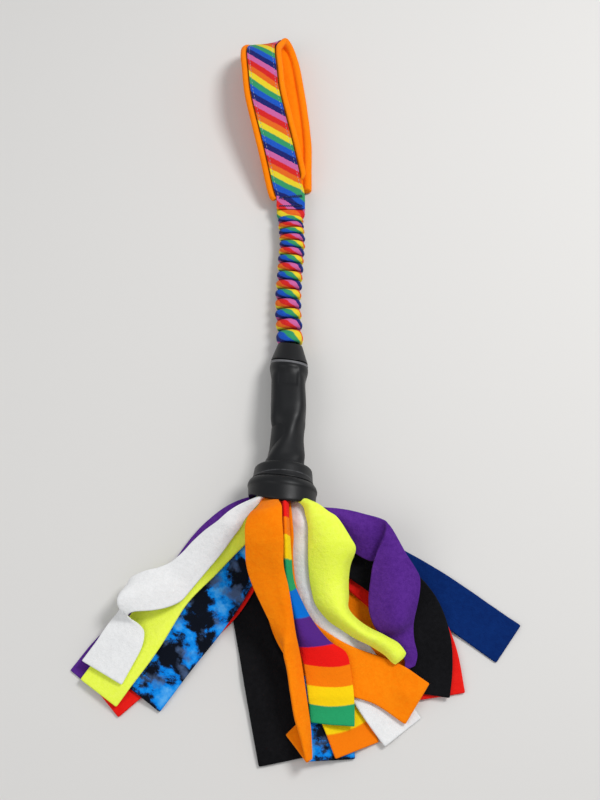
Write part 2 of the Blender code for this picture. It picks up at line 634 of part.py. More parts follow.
def tail_grid(side, level, levels, arched, stations):
    """A tail as a grid of points on its underside, before it is laid on the pile."""
    across, z, wide = mouth_place(side, level, levels)
    start, lip = (in_grip(across, along, z) for along in (LINER_LENGTH - MOUTH_DEPTH + GAP, LIP_AT))
    centre = in_grip(0, LINER_LENGTH, 0)
    points = [(lip.x, lip.y, wide)]
    for station in stations:
        x, out = station[:2]
        full = station[2] if len(station) > 2 else FLEECE_WIDTH
        spread = wide + (FLEECE_WIDTH - wide) * min(out / SPREAD, 1.0)
        points.append((centre.x + x, centre.y - out, min(full, spread)))
    rows = int(round(run_along(np.array(points)[:, :2])[-1] / TAIL_STEP)) + 1
    line = spline(points, rows, before=(start.x, start.y, wide))
    inside = [(start.x, start.y, wide), ((start.x + lip.x) / 2, (start.y + lip.y) / 2, wide)]
    line = np.vstack([inside, line])
    flat = line[:, :2]
    run = run_along(flat)
    step = np.gradient(flat, axis=0)
    step /= np.linalg.norm(step, axis=1)[:, None]
    step[:FIRM_ROWS] = (AXIS.x, AXIS.y) / np.hypot(AXIS.x, AXIS.y)
    sideways = np.stack([-step[:, 1], step[:, 0]], axis=1)
    shares = np.linspace(-1, 1, FLEECE_CELLS + 1)
    grid = np.zeros((len(line), FLEECE_CELLS + 1, 3))
    out_of_rim = run - run[2]
    fall = 0.5 + 0.5 * np.cos(np.pi * np.clip(out_of_rim / FALL, 0, 1))
    height = np.where(out_of_rim < 0, np.interp(run, [0, run[2]], [start.z, lip.z]), lip.z * fall)
    height -= FLEECE_THICKNESS / 2 * fall
    for k, share in enumerate(shares):
        grid[:, k, :2] = flat + sideways * (line[:, 2] / 2 * share)[:, None]
        grid[:, k, 2] = height
    arch = np.zeros(grid.shape[:2])
    if arched:
        # The rise of a flat arc whose width is the narrowed one and whose length is the strip's.
        rise = ARCH_FULLNESS * np.sqrt(np.maximum(FLEECE_WIDTH ** 2 - line[:, 2] ** 2, 0) * 3 / 16)
        rise *= np.clip((out_of_rim - ARCH_FROM) / ARCH_GROWS, 0, 1)
        arch = rise[:, None] * (1 - shares[None, :] ** 2)
    return grid, run, arch


def lay_tail(grid, arch, pile):
    """Lays one tail over the pile, smoothly, and adds it to the pile."""
    wanted = grid[..., 2].copy()
    for _ in range(DRAPE_TURNS):
        z = grid[..., 2]
        soft = z.copy()
        soft[1:-1] = (z[:-2] + 2 * z[1:-1] + z[2:]) / 4
        soft[:, 1:-1] = (soft[:, :-2] + 2 * soft[:, 1:-1] + soft[:, 2:]) / 4
        grid[FIRM_ROWS:, :, 2] = np.maximum(soft, wanted)[FIRM_ROWS:]
        lift_over(grid, pile, DRAPE_SHARE)
    for _ in range(3):
        lift_over(grid, pile, 1.0)
    grid[..., 2] = np.where(grid[..., 2] < GAP, 0.0, grid[..., 2])
    grid[..., 2] += arch
    top = grid + (0, 0, FLEECE_THICKNESS)
    found = inside_samples(top)
    pile.add(found[..., :2], found[..., 2])


def tail_mesh(grid):
    """A closed slab of the fleece's thickness on the grid's points."""
    bm = bmesh.new()
    low = [[bm.verts.new(p) for p in row] for row in grid]
    high = [[bm.verts.new((p[0], p[1], p[2] + FLEECE_THICKNESS)) for p in row] for row in grid]
    rows, columns = len(low), len(low[0])
    for r in range(rows - 1):
        for c in range(columns - 1):
            for layer in (low, high):
                a, b, d, e = layer[r][c], layer[r + 1][c], layer[r + 1][c + 1], layer[r][c + 1]
                bm.faces.new((a, b, e))
                bm.faces.new((b, d, e))
    edge = [(0, c) for c in range(columns)] + [(r, columns - 1) for r in range(1, rows)]
    edge += [(rows - 1, c) for c in range(columns - 2, -1, -1)] + [(r, 0) for r in range(rows - 2, 0, -1)]
    for (r, c), (s, d) in zip(edge, edge[1:] + edge[:1]):
        bm.faces.new((low[r][c], low[s][d], high[s][d], high[r][c]))
    return bm


def tails():
    """Lays all the tails from the lowest to the topmost."""
    pile = Pile()
    levels = {side: sum(1 for tail in TAILS if tail[2] == side) for side in (-1, 1)}
    level = {-1: 0, 1: 0}
    for name, colour, side, arched, stations in TAILS:
        grid, run, arch = tail_grid(side, level[side], levels[side], arched, stations)
        lay_tail(grid, arch, pile)
        level[side] += 1
        finish = material("fleece_" + name.split("_")[0], colour, 0.95)
        if name in HINGED_TAILS:
            split = int(np.searchsorted(run, TAIL_HINGE_AT))
            ahead = Vector(grid[split + 1].mean(axis=0) - grid[split].mean(axis=0)).normalized()
            outer = grid[split:].copy()
            outer[0] += np.array(ahead) * GAP
            add_object("root_" + name, tail_mesh(grid[:split + 1]), finish)
            made = add_object("tail_" + name, tail_mesh(outer), finish)
            middle = grid[split].mean(axis=0)
            put_origin(made, (middle[0], middle[1], grid[split, :, 2].max() + FLEECE_THICKNESS))
        else:
            add_object("tail_" + name, tail_mesh(grid), finish)


clear_scene()
liner()
bundle()
anchor_strap()
for upper in (True, False):
    put_origin(bungee_sleeve(upper), TAIL_POINT)
sleeve_end = sleeve_axis(60)[-1]
free_core, _ = bungee_core()
put_origin(free_core, sleeve_end)
for piece in (*handle(), *sewn_end()):
    put_origin(piece, sleeve_end)
tails()
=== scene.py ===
"""A dog tug toy laid on the floor: striped handle loop, gathered bungee, rubber grip, fleece strips."""
import math

import bmesh
import bpy
import numpy as np
from mathutils import Matrix, Vector, noise


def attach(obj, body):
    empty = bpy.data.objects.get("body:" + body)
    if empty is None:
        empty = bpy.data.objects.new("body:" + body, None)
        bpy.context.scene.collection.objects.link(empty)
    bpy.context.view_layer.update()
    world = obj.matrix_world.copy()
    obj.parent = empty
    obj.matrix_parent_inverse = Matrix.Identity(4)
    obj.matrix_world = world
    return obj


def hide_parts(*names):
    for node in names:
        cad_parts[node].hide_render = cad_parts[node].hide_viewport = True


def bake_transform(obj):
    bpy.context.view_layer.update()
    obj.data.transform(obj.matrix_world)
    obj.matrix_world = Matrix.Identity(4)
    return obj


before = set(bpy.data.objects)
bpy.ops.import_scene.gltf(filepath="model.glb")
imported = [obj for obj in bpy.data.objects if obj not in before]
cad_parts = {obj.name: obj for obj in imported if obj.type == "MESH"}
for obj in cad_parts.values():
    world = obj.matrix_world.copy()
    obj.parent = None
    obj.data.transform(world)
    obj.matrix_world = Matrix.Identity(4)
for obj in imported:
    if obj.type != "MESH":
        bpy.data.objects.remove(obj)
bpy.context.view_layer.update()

# Floor, light and camera: the toy lies on a plain pale floor in soft daylight from the right, and is
# looked at steeply from above, from the side of the fleece strips.
mm = 0.001
scene = bpy.context.scene
scene.view_settings.view_transform = "Standard"

floor = bmesh.new()
bmesh.ops.create_grid(floor, x_segments=1, y_segments=1, size=4.0)
bmesh.ops.translate(floor, verts=floor.verts, vec=(0, 0, -0.1 * mm))
floor_mesh = bpy.data.meshes.new("floor")
floor.to_mesh(floor_mesh)
floor.free()
floor_piece = bpy.data.objects.new("floor", floor_mesh)
scene.collection.objects.link(floor_piece)
floor_paint = bpy.data.materials.new("floor_paint")
floor_paint.use_nodes = True
floor_shader = floor_paint.node_tree.nodes["Principled BSDF"]
floor_shader.inputs["Base Color"].default_value = (0.70, 0.685, 0.665, 1)
floor_shader.inputs["Roughness"].default_value = 0.85
floor_mesh.materials.append(floor_paint)

sky = bpy.data.worlds.new("daylight")
scene.world = sky
sky.use_nodes = True
sky.node_tree.nodes["Background"].inputs["Color"].default_value = (0.96, 0.98, 1.0, 1)
sky.node_tree.nodes["Background"].inputs["Strength"].default_value = 0.50


def lamp(name, place, aim, wide, watts):
    light = bpy.data.lights.new(name, "AREA")
    light.shape, light.size, light.energy = "DISK", wide, watts
    made = bpy.data.objects.new(name, light)
    made.location = place
    made.rotation_euler = (Vector(aim) - Vector(place)).to_track_quat("-Z", "Y").to_euler()
    scene.collection.objects.link(made)


lamp("window", (0.75, 0.35, 1.25), (0, -0.02, 0), 0.50, 13)
lamp("bounce", (-0.9, -0.5, 1.1), (0, 0, 0), 1.0, 3.6)

view = bpy.data.cameras.new("camera")
view.lens, view.sensor_width = 54.0, 36.0
camera = bpy.data.objects.new("camera", view)
camera.location, camera.rotation_euler = (0.002, -0.397, 0.9133), (math.radians(22), 0, 0)
scene.collection.objects.link(camera)
scene.camera = camera

# Rubber grip: a dairy liner, one hollow moulding of black satin rubber from its narrow tail to its
# mouth. It has a ring and groove, a squarish barrel that the pull has twisted, and a two-tier mouth.
grip_tail = Vector((-6.0, 15.0, 13.31)) * mm
grip_along = Vector((-0.04338, -0.99356, 0.10464))
grip_across = Vector((math.cos(math.radians(2.5)), -math.sin(math.radians(2.5)), 0.0))
grip_above = grip_along.cross(grip_across)
grip_turn = Matrix((grip_across, grip_along, grip_above)).transposed().to_4x4()
grip_place = Matrix.Translation(grip_tail) @ grip_turn


class Dye:
    """One socket of a finish. Sums of these are written as sums, and add the nodes that work them out."""

    def __init__(self, tree, socket=None):
        self.tree, self.socket = tree, socket

    def add(self, kind, settings=None, out=0, **sockets):
        """A new node: its settings first, then the values or dyes of its sockets."""
        node = self.tree.nodes.new(kind)
        for name, value in (settings or {}).items():
            if name == "stops":
                ramp = node.color_ramp
                while len(ramp.elements) < len(value):
                    ramp.elements.new(0.5)
                for stop, (at, colour) in zip(ramp.elements, value):
                    stop.position, stop.color = at, (*colour, 1)
            else:
                setattr(node, name, value)
        for name, value in sockets.items():
            at = int(name[1:]) if name[0] == "s" and name[1:].isdigit() else name.replace("_", " ")
            socket = node.inputs[at]
            if isinstance(value, Dye):
                self.tree.links.new(value.socket, socket)
            elif isinstance(value, tuple) and len(value) == 3 and socket.type == "RGBA":
                socket.default_value = (*value, 1)
            else:
                socket.default_value = value
        return Dye(self.tree, node.outputs[out])

    def sum(self, operation, *values):
        sockets = {f"s{k}": value for k, value in enumerate(values)}
        return self.add("ShaderNodeMath", {"operation": operation}, **sockets)

    def __add__(self, other): return self.sum("ADD", self, other)
    def __sub__(self, other): return self.sum("SUBTRACT", self, other)
    def __mul__(self, other): return self.sum("MULTIPLY", self, other)
    def __truediv__(self, other): return self.sum("DIVIDE", self, other)
    def __pow__(self, other): return self.sum("POWER", self, other)
    def __mod__(self, other): return self.sum("FLOORED_MODULO", self, other)

    def wave(self):
        """Up and down once for each whole number, from 0 to 1."""
        return self.sum("SINE", self * (2 * math.pi)) * 0.5 + 0.5

    def between(self, low, high, bottom=0.0, top=1.0):
        """The value between low and high, spread evenly from bottom to top."""
        return self.add("ShaderNodeMapRange", None, Value=self, From_Min=low, From_Max=high,
                        To_Min=bottom, To_Max=top)

    def tint(self, one, two, way="MIX"):
        """Colour one where this is 0, colour two where it is 1."""
        return self.add("ShaderNodeMix", {"data_type": "RGBA", "blend_type": way}, 2,
                        s0=self, s6=one, s7=two)

    def speckle(self, size, detail=2.0, rough=0.5):
        """Cloudy noise whose grains are about size across, in metres."""
        return self.add("ShaderNodeTexNoise", Vector=self, Scale=1 / size, Detail=detail, Roughness=rough)

    def part(self, which):
        """One of a place's three coordinates."""
        return self.add("ShaderNodeSeparateXYZ", None, which, Vector=self)

    def ramp(self, stops):
        """The colour that the stops give: each is a place from 0 to 1, and a colour."""
        return self.add("ShaderNodeValToRGB", {"stops": stops}, 0, Fac=self)


def finish(name):
    """A new material, and the places on the piece that its patterns are measured from."""
    look = bpy.data.materials.new(name)
    look.use_nodes = True
    look.node_tree.nodes.clear()
    there = Dye(look.node_tree).add("ShaderNodeTexCoord").socket.node
    return look, Dye(look.node_tree, there.outputs["Object"]), Dye(look.node_tree, there.outputs["UV"])


def surface(look, colour, roughness, height, depth, **fixed):
    """Closes a material: what varies over the piece, and what is the same all over."""
    blank = Dye(look.node_tree)
    bump = blank.add("ShaderNodeBump", Height=height, Distance=depth, Strength=1.0)
    shader = blank.add("ShaderNodeBsdfPrincipled", Base_Color=colour, Roughness=roughness,
                       Normal=bump, **fixed)
    out = look.node_tree.nodes.new("ShaderNodeOutputMaterial")
    look.node_tree.links.new(shader.socket, out.inputs["Surface"])
    return look


def piece(name, bm, look, body=None, stands_for=()):
    """The finished mesh as a piece of the toy, riding on its body."""
    mesh = bpy.data.meshes.new(name)
    bm.to_mesh(mesh)
    bm.free()
    mesh.shade_smooth()
    mesh.materials.append(look)
    made = bpy.data.objects.new(name, mesh)
    scene.collection.objects.link(made)
    if body:
        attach(made, body)
    if stands_for:
        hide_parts(*stands_for)
    return made


def rounded(made):
    """Rounds a piece's mesh once over."""
    soft = made.modifiers.new("soft", "SUBSURF")
    soft.levels = soft.render_levels = 1


def smooth_step(low, high, value):
    share = min(max((value - low) / (high - low), 0.0), 1.0)
    return share * share * (3 - 2 * share)


# From the narrow end outside, round the rim and back inside: along the grip, and from its axis.
liner_profile = [(0, 9.4), (0.15, 9.9), (0.7, 10.3), (8, 12.4), (15.8, 15.0), (16.4, 15.1), (16.7, 14.9),
                 (16.9, 13.7), (17.5, 13.6), (17.7, 14.9), (18.0, 15.4), (19.0, 15.5), (19.3, 15.1),
                 (19.5, 15.0), (19.8, 15.3), (22, 15.7), (24.0, 15.6), (25.2, 15.5), (28.5, 15.0)]
barrel_run = [32, 40, 50, 60, 71, 77, 82, 88, 94, 101, 107, 110.5]
barrel_size = [14.8, 14.7, 15.0, 15.2, 14.3, 12.9, 12.2, 12.3, 13.2, 14.9, 16.0, 16.4]
liner_profile += [(along, float(np.interp(along, barrel_run, barrel_size)))
                  for along in (32, 35, 38, 41, 43, 44.2, 47, *range(50, 110, 3))]
liner_profile += [(111, 16.4), (112.0, 16.8), (112.3, 20.6), (112.6, 21.6), (113.6, 22.5), (115, 22.8),
                  (121.4, 23.4), (122.5, 24.0), (123.1, 24.0), (123.3, 23.8), (123.4, 23.3), (123.9, 23.3),
                  (124.1, 24.4), (124.6, 25.3), (125.8, 26.1), (127.2, 26.8), (128.6, 27.2), (129.6, 27.1),
                  (130.2, 26.6), (131.2, 26.4), (134.5, 26.3), (137.0, 26.1), (137.7, 25.7), (138, 25.0),
                  (138, 22.5), (137.6, 22.0), (123.5, 22.0), (123.5, 19.5), (115.4, 19.5), (115.4, 10.8),
                  (25, 10.8), (19, 7.6), (0, 7.6)]
waist, squareness, twist = 84, 3.4, math.radians(86)
liner = bmesh.new()
profile_points = [liner.verts.new((radius * mm, along * mm, 0)) for along, radius in liner_profile]
for one, two in zip(profile_points, profile_points[1:] + profile_points[:1]):
    liner.edges.new((one, two))
bmesh.ops.spin(liner, geom=liner.verts[:] + liner.edges[:], cent=(0, 0, 0), axis=(0, 1, 0),
               angle=2 * math.pi, steps=96, use_merge=True)
bmesh.ops.remove_doubles(liner, verts=liner.verts, dist=1e-6)
for point in liner.verts:
    along, radius = point.co.y / mm, math.hypot(point.co.x, point.co.z) / mm
    outside = radius > 12.0 and along < 111.5
    share = (along - 35) / 73
    squared = smooth_step(27, 33, along) * (1 - smooth_step(106, 112, along)) * outside
    turn = twist * smooth_step(0.34, 1.06, share)
    angle = math.atan2(point.co.z, point.co.x)
    corner = abs(math.cos(angle - turn)) ** squareness + abs(math.sin(angle - turn)) ** squareness
    corner = corner ** (-1 / squareness)
    corner = 1 + (corner - 1) * (1 - 0.4 * math.exp(-((along - waist) / 10) ** 2))
    fuller = 1 - squared + squared * 0.935 * corner
    # The flat front dips where the barrel is pinched, and the whole barrel leans to the right.
    fuller *= 1 - 0.03 * squared * math.exp(-((along - waist) / 9) ** 2) * math.sin(angle)
    point.co.x, point.co.z = point.co.x * fuller, point.co.z * fuller
    shift = 1.3 * smooth_step(30, 60, along) + 1.0 * math.exp(-((along - waist) / 12) ** 2)
    point.co.x += shift * mm * outside * (1 - smooth_step(102, 111, along))
    # A shallow moulded pad at the top of the front face.
    pad = smooth_step(24, 25.2, along) * (1 - smooth_step(43, 44.2, along))
    pad *= (1 - smooth_step(7.2, 8.4, abs(point.co.x / mm))) * (point.co.z > 0) * outside
    point.co.z -= 0.6 * mm * pad
    # The upper sides of the soft mouth and of the narrow end lean out and down.
    above = max(math.sin(angle), 0.0) ** 1.5
    point.co.y += (3.6 * smooth_step(108, 118, along) + 6.6 * smooth_step(126, 139, along)) * mm * above
    # The mouth is a little aslant to the axis, and so is the narrow end.
    point.co.y += 0.08 * (point.co.x + 8 * mm) * smooth_step(108, 124, along)
    point.co.y += 4.8 * mm * above * (1 - smooth_step(14, 44, along)) * min(radius / 15, 1.0)
    point.co.y += 0.09 * point.co.x * (1 - smooth_step(24, 50, along))
liner.transform(grip_place)
bmesh.ops.recalc_face_normals(liner, faces=liner.faces)

rubber, spot, _ = finish("satin_rubber")
smudges = spot.speckle(22 * mm, 4.0) ** 1.5
grain = spot.speckle(0.35 * mm, 2.0)
streaks = spot.add("ShaderNodeMapping", Vector=spot, Scale=(1.0, 0.25, 1.0))
streaks = streaks.speckle(2.5 * mm, 3.0)
upright = Matrix((-grip_across, grip_along, grip_above)).transposed()
run_down = spot.add("ShaderNodeMapping", {"vector_type": "TEXTURE"}, 0, Vector=spot,
                    Location=tuple(grip_tail), Rotation=upright.to_euler()[:])
grip_run = run_down.part(1) / mm
# Painted highlights: the bead after the groove is painted light grey where its edge catches the light, and so
# is the edge of the mouth's upper tier.
height = run_down.part(2) / (15 * mm)
run = grip_run - height.between(0.0, 1.0, 0.0, 4.8) + run_down.part(0) * 90.0
bead_highlight = run.between(17.4, 17.8) * run.between(19.6, 19.2)
rim_highlight = grip_run.between(122.2, 122.9) * grip_run.between(123.5, 123.2)
pale_marks = bead_highlight * streaks.between(0.2, 0.5, 0.7, 1.0) + rim_highlight * streaks.between(0.3, 0.6, 0.1, 0.35)
rubber_tone = (smudges * 0.8 + streaks * 0.2).tint((0.0035, 0.0038, 0.0045), (0.0095, 0.010, 0.0115))
# Painted highlight: the bead and the mouth's edge are mixed towards light grey.
surface(rubber, pale_marks.tint(rubber_tone, (0.16, 0.16, 0.17)),
        smudges.between(0.1, 0.6, 0.42, 0.33) + streaks * 0.10, grain * 0.6 + streaks, 0.04 * mm,
        Specular_IOR_Level=0.27)
grip_liner = piece("grip_liner", liner, rubber, "grip", ["rubber_liner"])
rounded(grip_liner)

# Anchor strap: black webbing sewn into a loop in the grip ties the elastic to the folded fleece. Both
# are hidden once the toy is put together, and so is the elastic's braided end.
braid, spot, _ = finish("braided_elastic")
braid = surface(braid, spot.speckle(2 * mm).tint((0.012, 0.012, 0.014), (0.03, 0.03, 0.034)), 0.7,
                spot.speckle(0.8 * mm, 3.0), 0.3 * mm)
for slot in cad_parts["bungee_core_end"].material_slots:
    slot.material = braid

strap_look, spot, _ = finish("black_webbing")
ribs = (spot.part(1) / (1.4 * mm)).wave()
strap_look = surface(strap_look, ribs.tint((0.010, 0.010, 0.013), (0.028, 0.028, 0.034)), 0.8,
                     ribs + spot.speckle(0.4 * mm), 0.2 * mm)
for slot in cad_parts["anchor_strap"].material_slots:
    slot.material = strap_look

# Bungee sleeve: two striped ribbons sewn together along both sides over the elastic, and gathered on
# it, so that the sleeve stretches with the cord. Its slim end is pushed into the grip's narrow tail.
stripe_period, stripe_slope = 49.0 * mm, 0.98
gathers = 15
gather_pitches = [5.4 + 0.39 * k for k in range(gathers - 1)]
sleeve_length = 8.0 + sum(gather_pitches) + 9.0
sleeve_half, sleeve_tall, ribbon_wide = 10.9, 9.5, 34.0
# The ribbon that goes into one gather, and where its stripes start, in mm.
gather_ribbon, stripes_from = 24.5, 35.7


def curve(a, b, c, d, t):
    """The smooth curve from b to c, of which a and d are the neighbours."""
    return 0.5 * (2 * b + (c - a) * t + (2 * a - 5 * b + 4 * c - d) * t * t
                  + (3 * b - a - 3 * c + d) * t ** 3)


def length_along(line):
    """The length of the line from its start up to each of its points."""
    return np.append(0, np.cumsum(np.linalg.norm(np.diff(line, axis=0), axis=1)))


def found_at(s, run, line):
    """The three coordinates at length s of a line."""
    return [np.interp(s, run, line[:, c]) for c in range(3)]


def uneven_over(a, b, seed):
    """Cloudy unevenness over pairs of numbers."""
    return np.array([noise.noise((x, y, seed)) for x, y in zip(a, b)])


def smooth_line(points, count, before=None):
    """Even steps along a smooth curve through the points, which sets out as if from before."""
    p = np.array(points, float)
    lead = 2 * p[0] - p[1] if before is None else np.array(before, float)
    p = np.vstack([lead, p, 2 * p[-1] - p[-2]])
    t = np.linspace(0, 1, 24, endpoint=False)[:, None]
    fine = np.vstack([curve(a, b, c, d, t) for a, b, c, d in zip(p, p[1:], p[2:], p[3:])] + [p[-2:-1]])
    run = length_along(fine[:, :3])
    even = np.linspace(0, run[-1], count)
    return np.stack([np.interp(even, run, fine[:, k]) for k in range(fine.shape[1])], axis=1)


def along_line(line, side):
    """The line's running length, and at each point its side and its outward way."""
    ahead = np.gradient(line, axis=0)
    ahead /= np.linalg.norm(ahead, axis=1)[:, None]
    wide = np.array(side, float) - ahead * (ahead @ np.array(side, float))[:, None]
    wide /= np.linalg.norm(wide, axis=1)[:, None]
    return length_along(line), wide, np.cross(wide, ahead)


def cloth(name, columns, rows, wide, long, lay, close=False):
    """A flat cut of cloth, wide by long in mm, laid point by point: lay(u, v) from 0 to 1 each way."""
    bm = bmesh.new()
    bmesh.ops.create_grid(bm, x_segments=columns, y_segments=rows, size=0.5)
    cut = bm.loops.layers.uv.new("cut")
    for face in bm.faces:
        for loop in face.loops:
            loop[cut].uv = ((loop.vert.co.x + 0.5) * wide * mm, (loop.vert.co.y + 0.5) * long * mm)
    share = np.array([(v.co.x + 0.5, v.co.y + 0.5) for v in bm.verts])
    for vert, place in zip(bm.verts, lay(share[:, 0], share[:, 1])):
        vert.co = Vector(place) * mm
    if close:
        bmesh.ops.remove_doubles(bm, verts=bm.verts, dist=1e-6)
    return bm


def recut(bm, change):
    """Moves the places on the flat cut, in metres: change(across, along) gives the new ones."""
    cut = bm.loops.layers.uv["cut"]
    for face in bm.faces:
        for loop in face.loops:
            loop[cut].uv = change(*loop[cut].uv)


def thicken(made, thick):
    """Gives cloth its thickness in mm, half of it to each side."""
    solid = made.modifiers.new("thickness", "SOLIDIFY")
    solid.thickness, solid.offset, solid.use_even_offset = thick * mm, 0.0, False


def bands(colours, blur):
    """Stops for plain bands of equal width that run into each other over twice the blur."""
    stops = []
    for k, colour in enumerate(colours):
        stops += [(k / len(colours) + blur, colour), ((k + 1) / len(colours) - blur, colour)]
    return stops


def striped_ribbon(name, gathered=False):
    """Woven ribbon in a common slanting rainbow stripe: pink, red, orange, yellow, green, blue, navy."""
    look, _, uv = finish(name)
    across, along = uv.part(0), uv.part(1)
    uneven = (uv.speckle(3 * mm, 2.0) - 0.5) * (1.6 * mm)
    phase = ((along * -1.0 - across * stripe_slope + uneven) / stripe_period) % 1.0
    colours = [(0.72, 0.14, 0.42), (0.80, 0.012, 0.010), (0.95, 0.16, 0.006), (0.98, 0.76, 0.02),
               (0.03, 0.36, 0.15), (0.002, 0.10, 0.62), (0.003, 0.010, 0.17)]
    pale_marks = uv.speckle(1.1 * mm, 3.0).between(0.35, 0.8, 0.0, 0.035)
    twill = ((along * 0.75 + across * 0.66) / (0.85 * mm)).wave()
    threads = (across / (0.45 * mm)).wave()
    pale = pale_marks.tint(phase.ramp(bands(colours, 0.012)), (0.85, 0.80, 0.78))
    dark = (twill * 0.7 + threads * 0.3).tint((0.66, 0.66, 0.66), (1.0, 1.0, 1.0))
    mixed = pale_marks.add("ShaderNodeMix", {"data_type": "RGBA", "blend_type": "MULTIPLY"}, 2,
                     s0=1.0, s6=pale, s7=dark)
    if gathered:
        # Painted shade: darker down in the troughs, where the folds hold the shade.
        fold = ((along / mm - stripes_from) / gather_ribbon + 0.5) % 1.0 - 0.5
        shade = fold.sum("ABSOLUTE", fold).between(0.06, 0.30, 0.72, 0.0)
        mixed = shade.tint(mixed, (0.0, 0.001, 0.006))
    return surface(look, mixed, uv.speckle(4 * mm).between(0.3, 0.7, 0.52, 0.66),
                   twill + threads * 0.5, 0.10 * mm, Specular_IOR_Level=0.12)


sleeve_look = striped_ribbon("gathered_ribbon", True)
low = sleeve_tall + 0.3
tail = np.array(grip_tail) / mm
inside = tail + np.array(grip_along) * 6.0
sleeve_line = smooth_line(
    [inside, tail, tail + (-0.8, sleeve_length * 0.10, low + 1.8 - tail[2]),
     tail + (-2.0, sleeve_length * 0.33, low - tail[2]), tail + (0, sleeve_length * 0.60, low - tail[2]),
     tail + (1.4, sleeve_length * 0.78, low - tail[2]), tail + (0.2, sleeve_length * 0.90, low - tail[2]),
     tail + (0, sleeve_length * 0.96, low - 0.5 - tail[2]), tail + (0, sleeve_length, low - 0.8 - tail[2])],
    400)
sleeve_run, sleeve_wide, sleeve_out = along_line(sleeve_line, (1, 0, 0))
sleeve_total = sleeve_run[-1]
# Troughs from the grip to the handle: the first is the grip's mouth, the last the sewn end.
crests = sleeve_total - 8.0 - np.append(0, np.cumsum(gather_pitches))
troughs = np.concatenate([[sleeve_total - 5.3], (crests[:-1] + crests[1:]) / 2, [6.0]])[::-1]
sleeve_turn = math.radians(10)
# The sleeve is in two lengths, split at this gather.
split = 4


def gathered_ribbon(first, last, side):
    """Lays one ribbon of the sleeve between two troughs: side 1 is the top one, -1 the back one."""
    def lay(u, v):
        number = first + v * (last - first)
        k = np.clip(np.floor(number + 1e-9), 0, gathers - 1).astype(int)
        share = np.clip(number - k, 0, 1)
        at = troughs[k] + (troughs[k + 1] - troughs[k]) * share
        pitch = troughs[k + 1] - troughs[k]
        angle = np.pi * (1 - u)
        seam = np.exp(-(np.minimum(u, 1 - u) / 0.05) ** 2)
        lobe = np.sqrt(np.clip(1 - (2 * share - 1) ** 2, 0, 1)) ** 0.9
        uneven = uneven_over(2.1 * (u * 3), 0.9 * number, side * 3.0)
        creases = uneven_over(9 * u + 0.8 * number, 4.2 * number, side * 7.0)
        deep = np.minimum(4.3, 0.52 * pitch) + 0.8
        dip = deep * (1 - lobe) * (1 - 0.45 * seam) + 0.9 * seam - 0.35 * uneven * lobe - 0.3 * creases
        half = sleeve_half - np.maximum(dip, -0.05)
        tall = sleeve_tall - np.maximum(dip, -0.05)
        # Slim where it is pushed into the grip's tail.
        neck = np.clip((7.6 - at) / 1.4, 0, 1)
        half, tall = (size * (1 - neck) + 7.2 * neck for size in (half, tall))
        x = half * np.cos(angle)
        z = tall * np.sin(angle) * side + 0.33 * side
        slant = 0.5 * x / half * (1 - neck) + 0.35 * uneven * (1 - seam) * (1 - neck)
        slant += 2.4 * np.sin(angle) * (side > 0) * (1 - neck)
        place = np.clip(at - slant, 0, sleeve_total)
        turned = sleeve_turn * (1 - neck)
        x, z = x * np.cos(turned) - z * np.sin(turned), x * np.sin(turned) + z * np.cos(turned)
        found, wide, out = (found_at(place, sleeve_run, line)
                            for line in (sleeve_line, sleeve_wide, sleeve_out))
        points = np.stack([f + w * x + o * z for f, w, o in zip(found, wide, out)], axis=1)
        points[:, 2] = np.maximum(points[:, 2], 0.45)
        return points
    return lay


def bend(made, lower):
    """Bakes the placing of one length of the sleeve or of the elastic into its mesh."""
    if lower:
        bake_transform(made)
    else:
        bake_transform(made)


def striped_on(x, y):
    """The stripes run on from one length to the next, and most of the ribbon is in the troughs."""
    number = first + y / (gather_ribbon * mm)
    number -= 0.76 * math.sin(2 * math.pi * (number + 0.5)) / (2 * math.pi)
    return x, (number * gather_ribbon + stripes_from) * mm


for side, part in ((1, "top"), (-1, "back")):
    for first, last, lower in ((0, split, True), (split, gathers, False)):
        name = f"sleeve_{part}_{'grip' if lower else 'free'}"
        count = last - first
        fabric = cloth(name, 40, count * 14, ribbon_wide, count * gather_ribbon,
                       gathered_ribbon(first, last, side))
        recut(fabric, striped_on)
        made = piece(name, fabric, sleeve_look, None, [f"bungee_sleeve_{part}"])
        thicken(made, 0.55)
        rounded(made)
        bend(made, lower)
        count * 0.0105


# Elastic: a round braided cord through the sleeve, from the grip's narrow end to where the sleeve is
# pressed flat. It is squeezed by the sleeve all along.
def elastic(first, last):
    """Lays the cord between two lengths along the sleeve, in mm, and rounds off its free end."""
    def lay(u, v):
        s = first + (last - first) * v
        slim = np.sqrt(1 - np.clip((s - last + 3.0) / 3.0, 0, 0.999) ** 2) if last > 100 else 1.0
        angle = 2 * np.pi * u
        found, wide, out = (found_at(s, sleeve_run, line)
                            for line in (sleeve_line, sleeve_wide, sleeve_out))
        return np.stack([f + (w * np.cos(angle) + o * np.sin(angle)) * 4.2 * slim
                         for f, w, o in zip(found, wide, out)], axis=1)
    return lay


for part, first, last in (("grip", 6.1, troughs[split]), ("free", troughs[split], sleeve_total - 5.0)):
    tube = cloth(f"elastic_{part}", 24, round((last - first) / 2), 26.4, last - first,
                 elastic(first, last), close=True)
    made = piece(f"elastic_{part}", tube, braid, None, ["bungee_core"])
    bend(made, part == "grip")

# Flat end of the bungee: past the last gather both ribbons are pressed flat over the elastic, and go
# in between the two ends of the handle's strap, where they are sewn through.
flat_path = smooth_line([sleeve_line[-1] - (0, 8.5, 0), sleeve_line[-1] - (0, 3, 0), sleeve_line[-1],
                         sleeve_line[-1] + (0, 6, 0), sleeve_line[-1] + (0, 12, 0)], 60)
flat_run = length_along(flat_path)


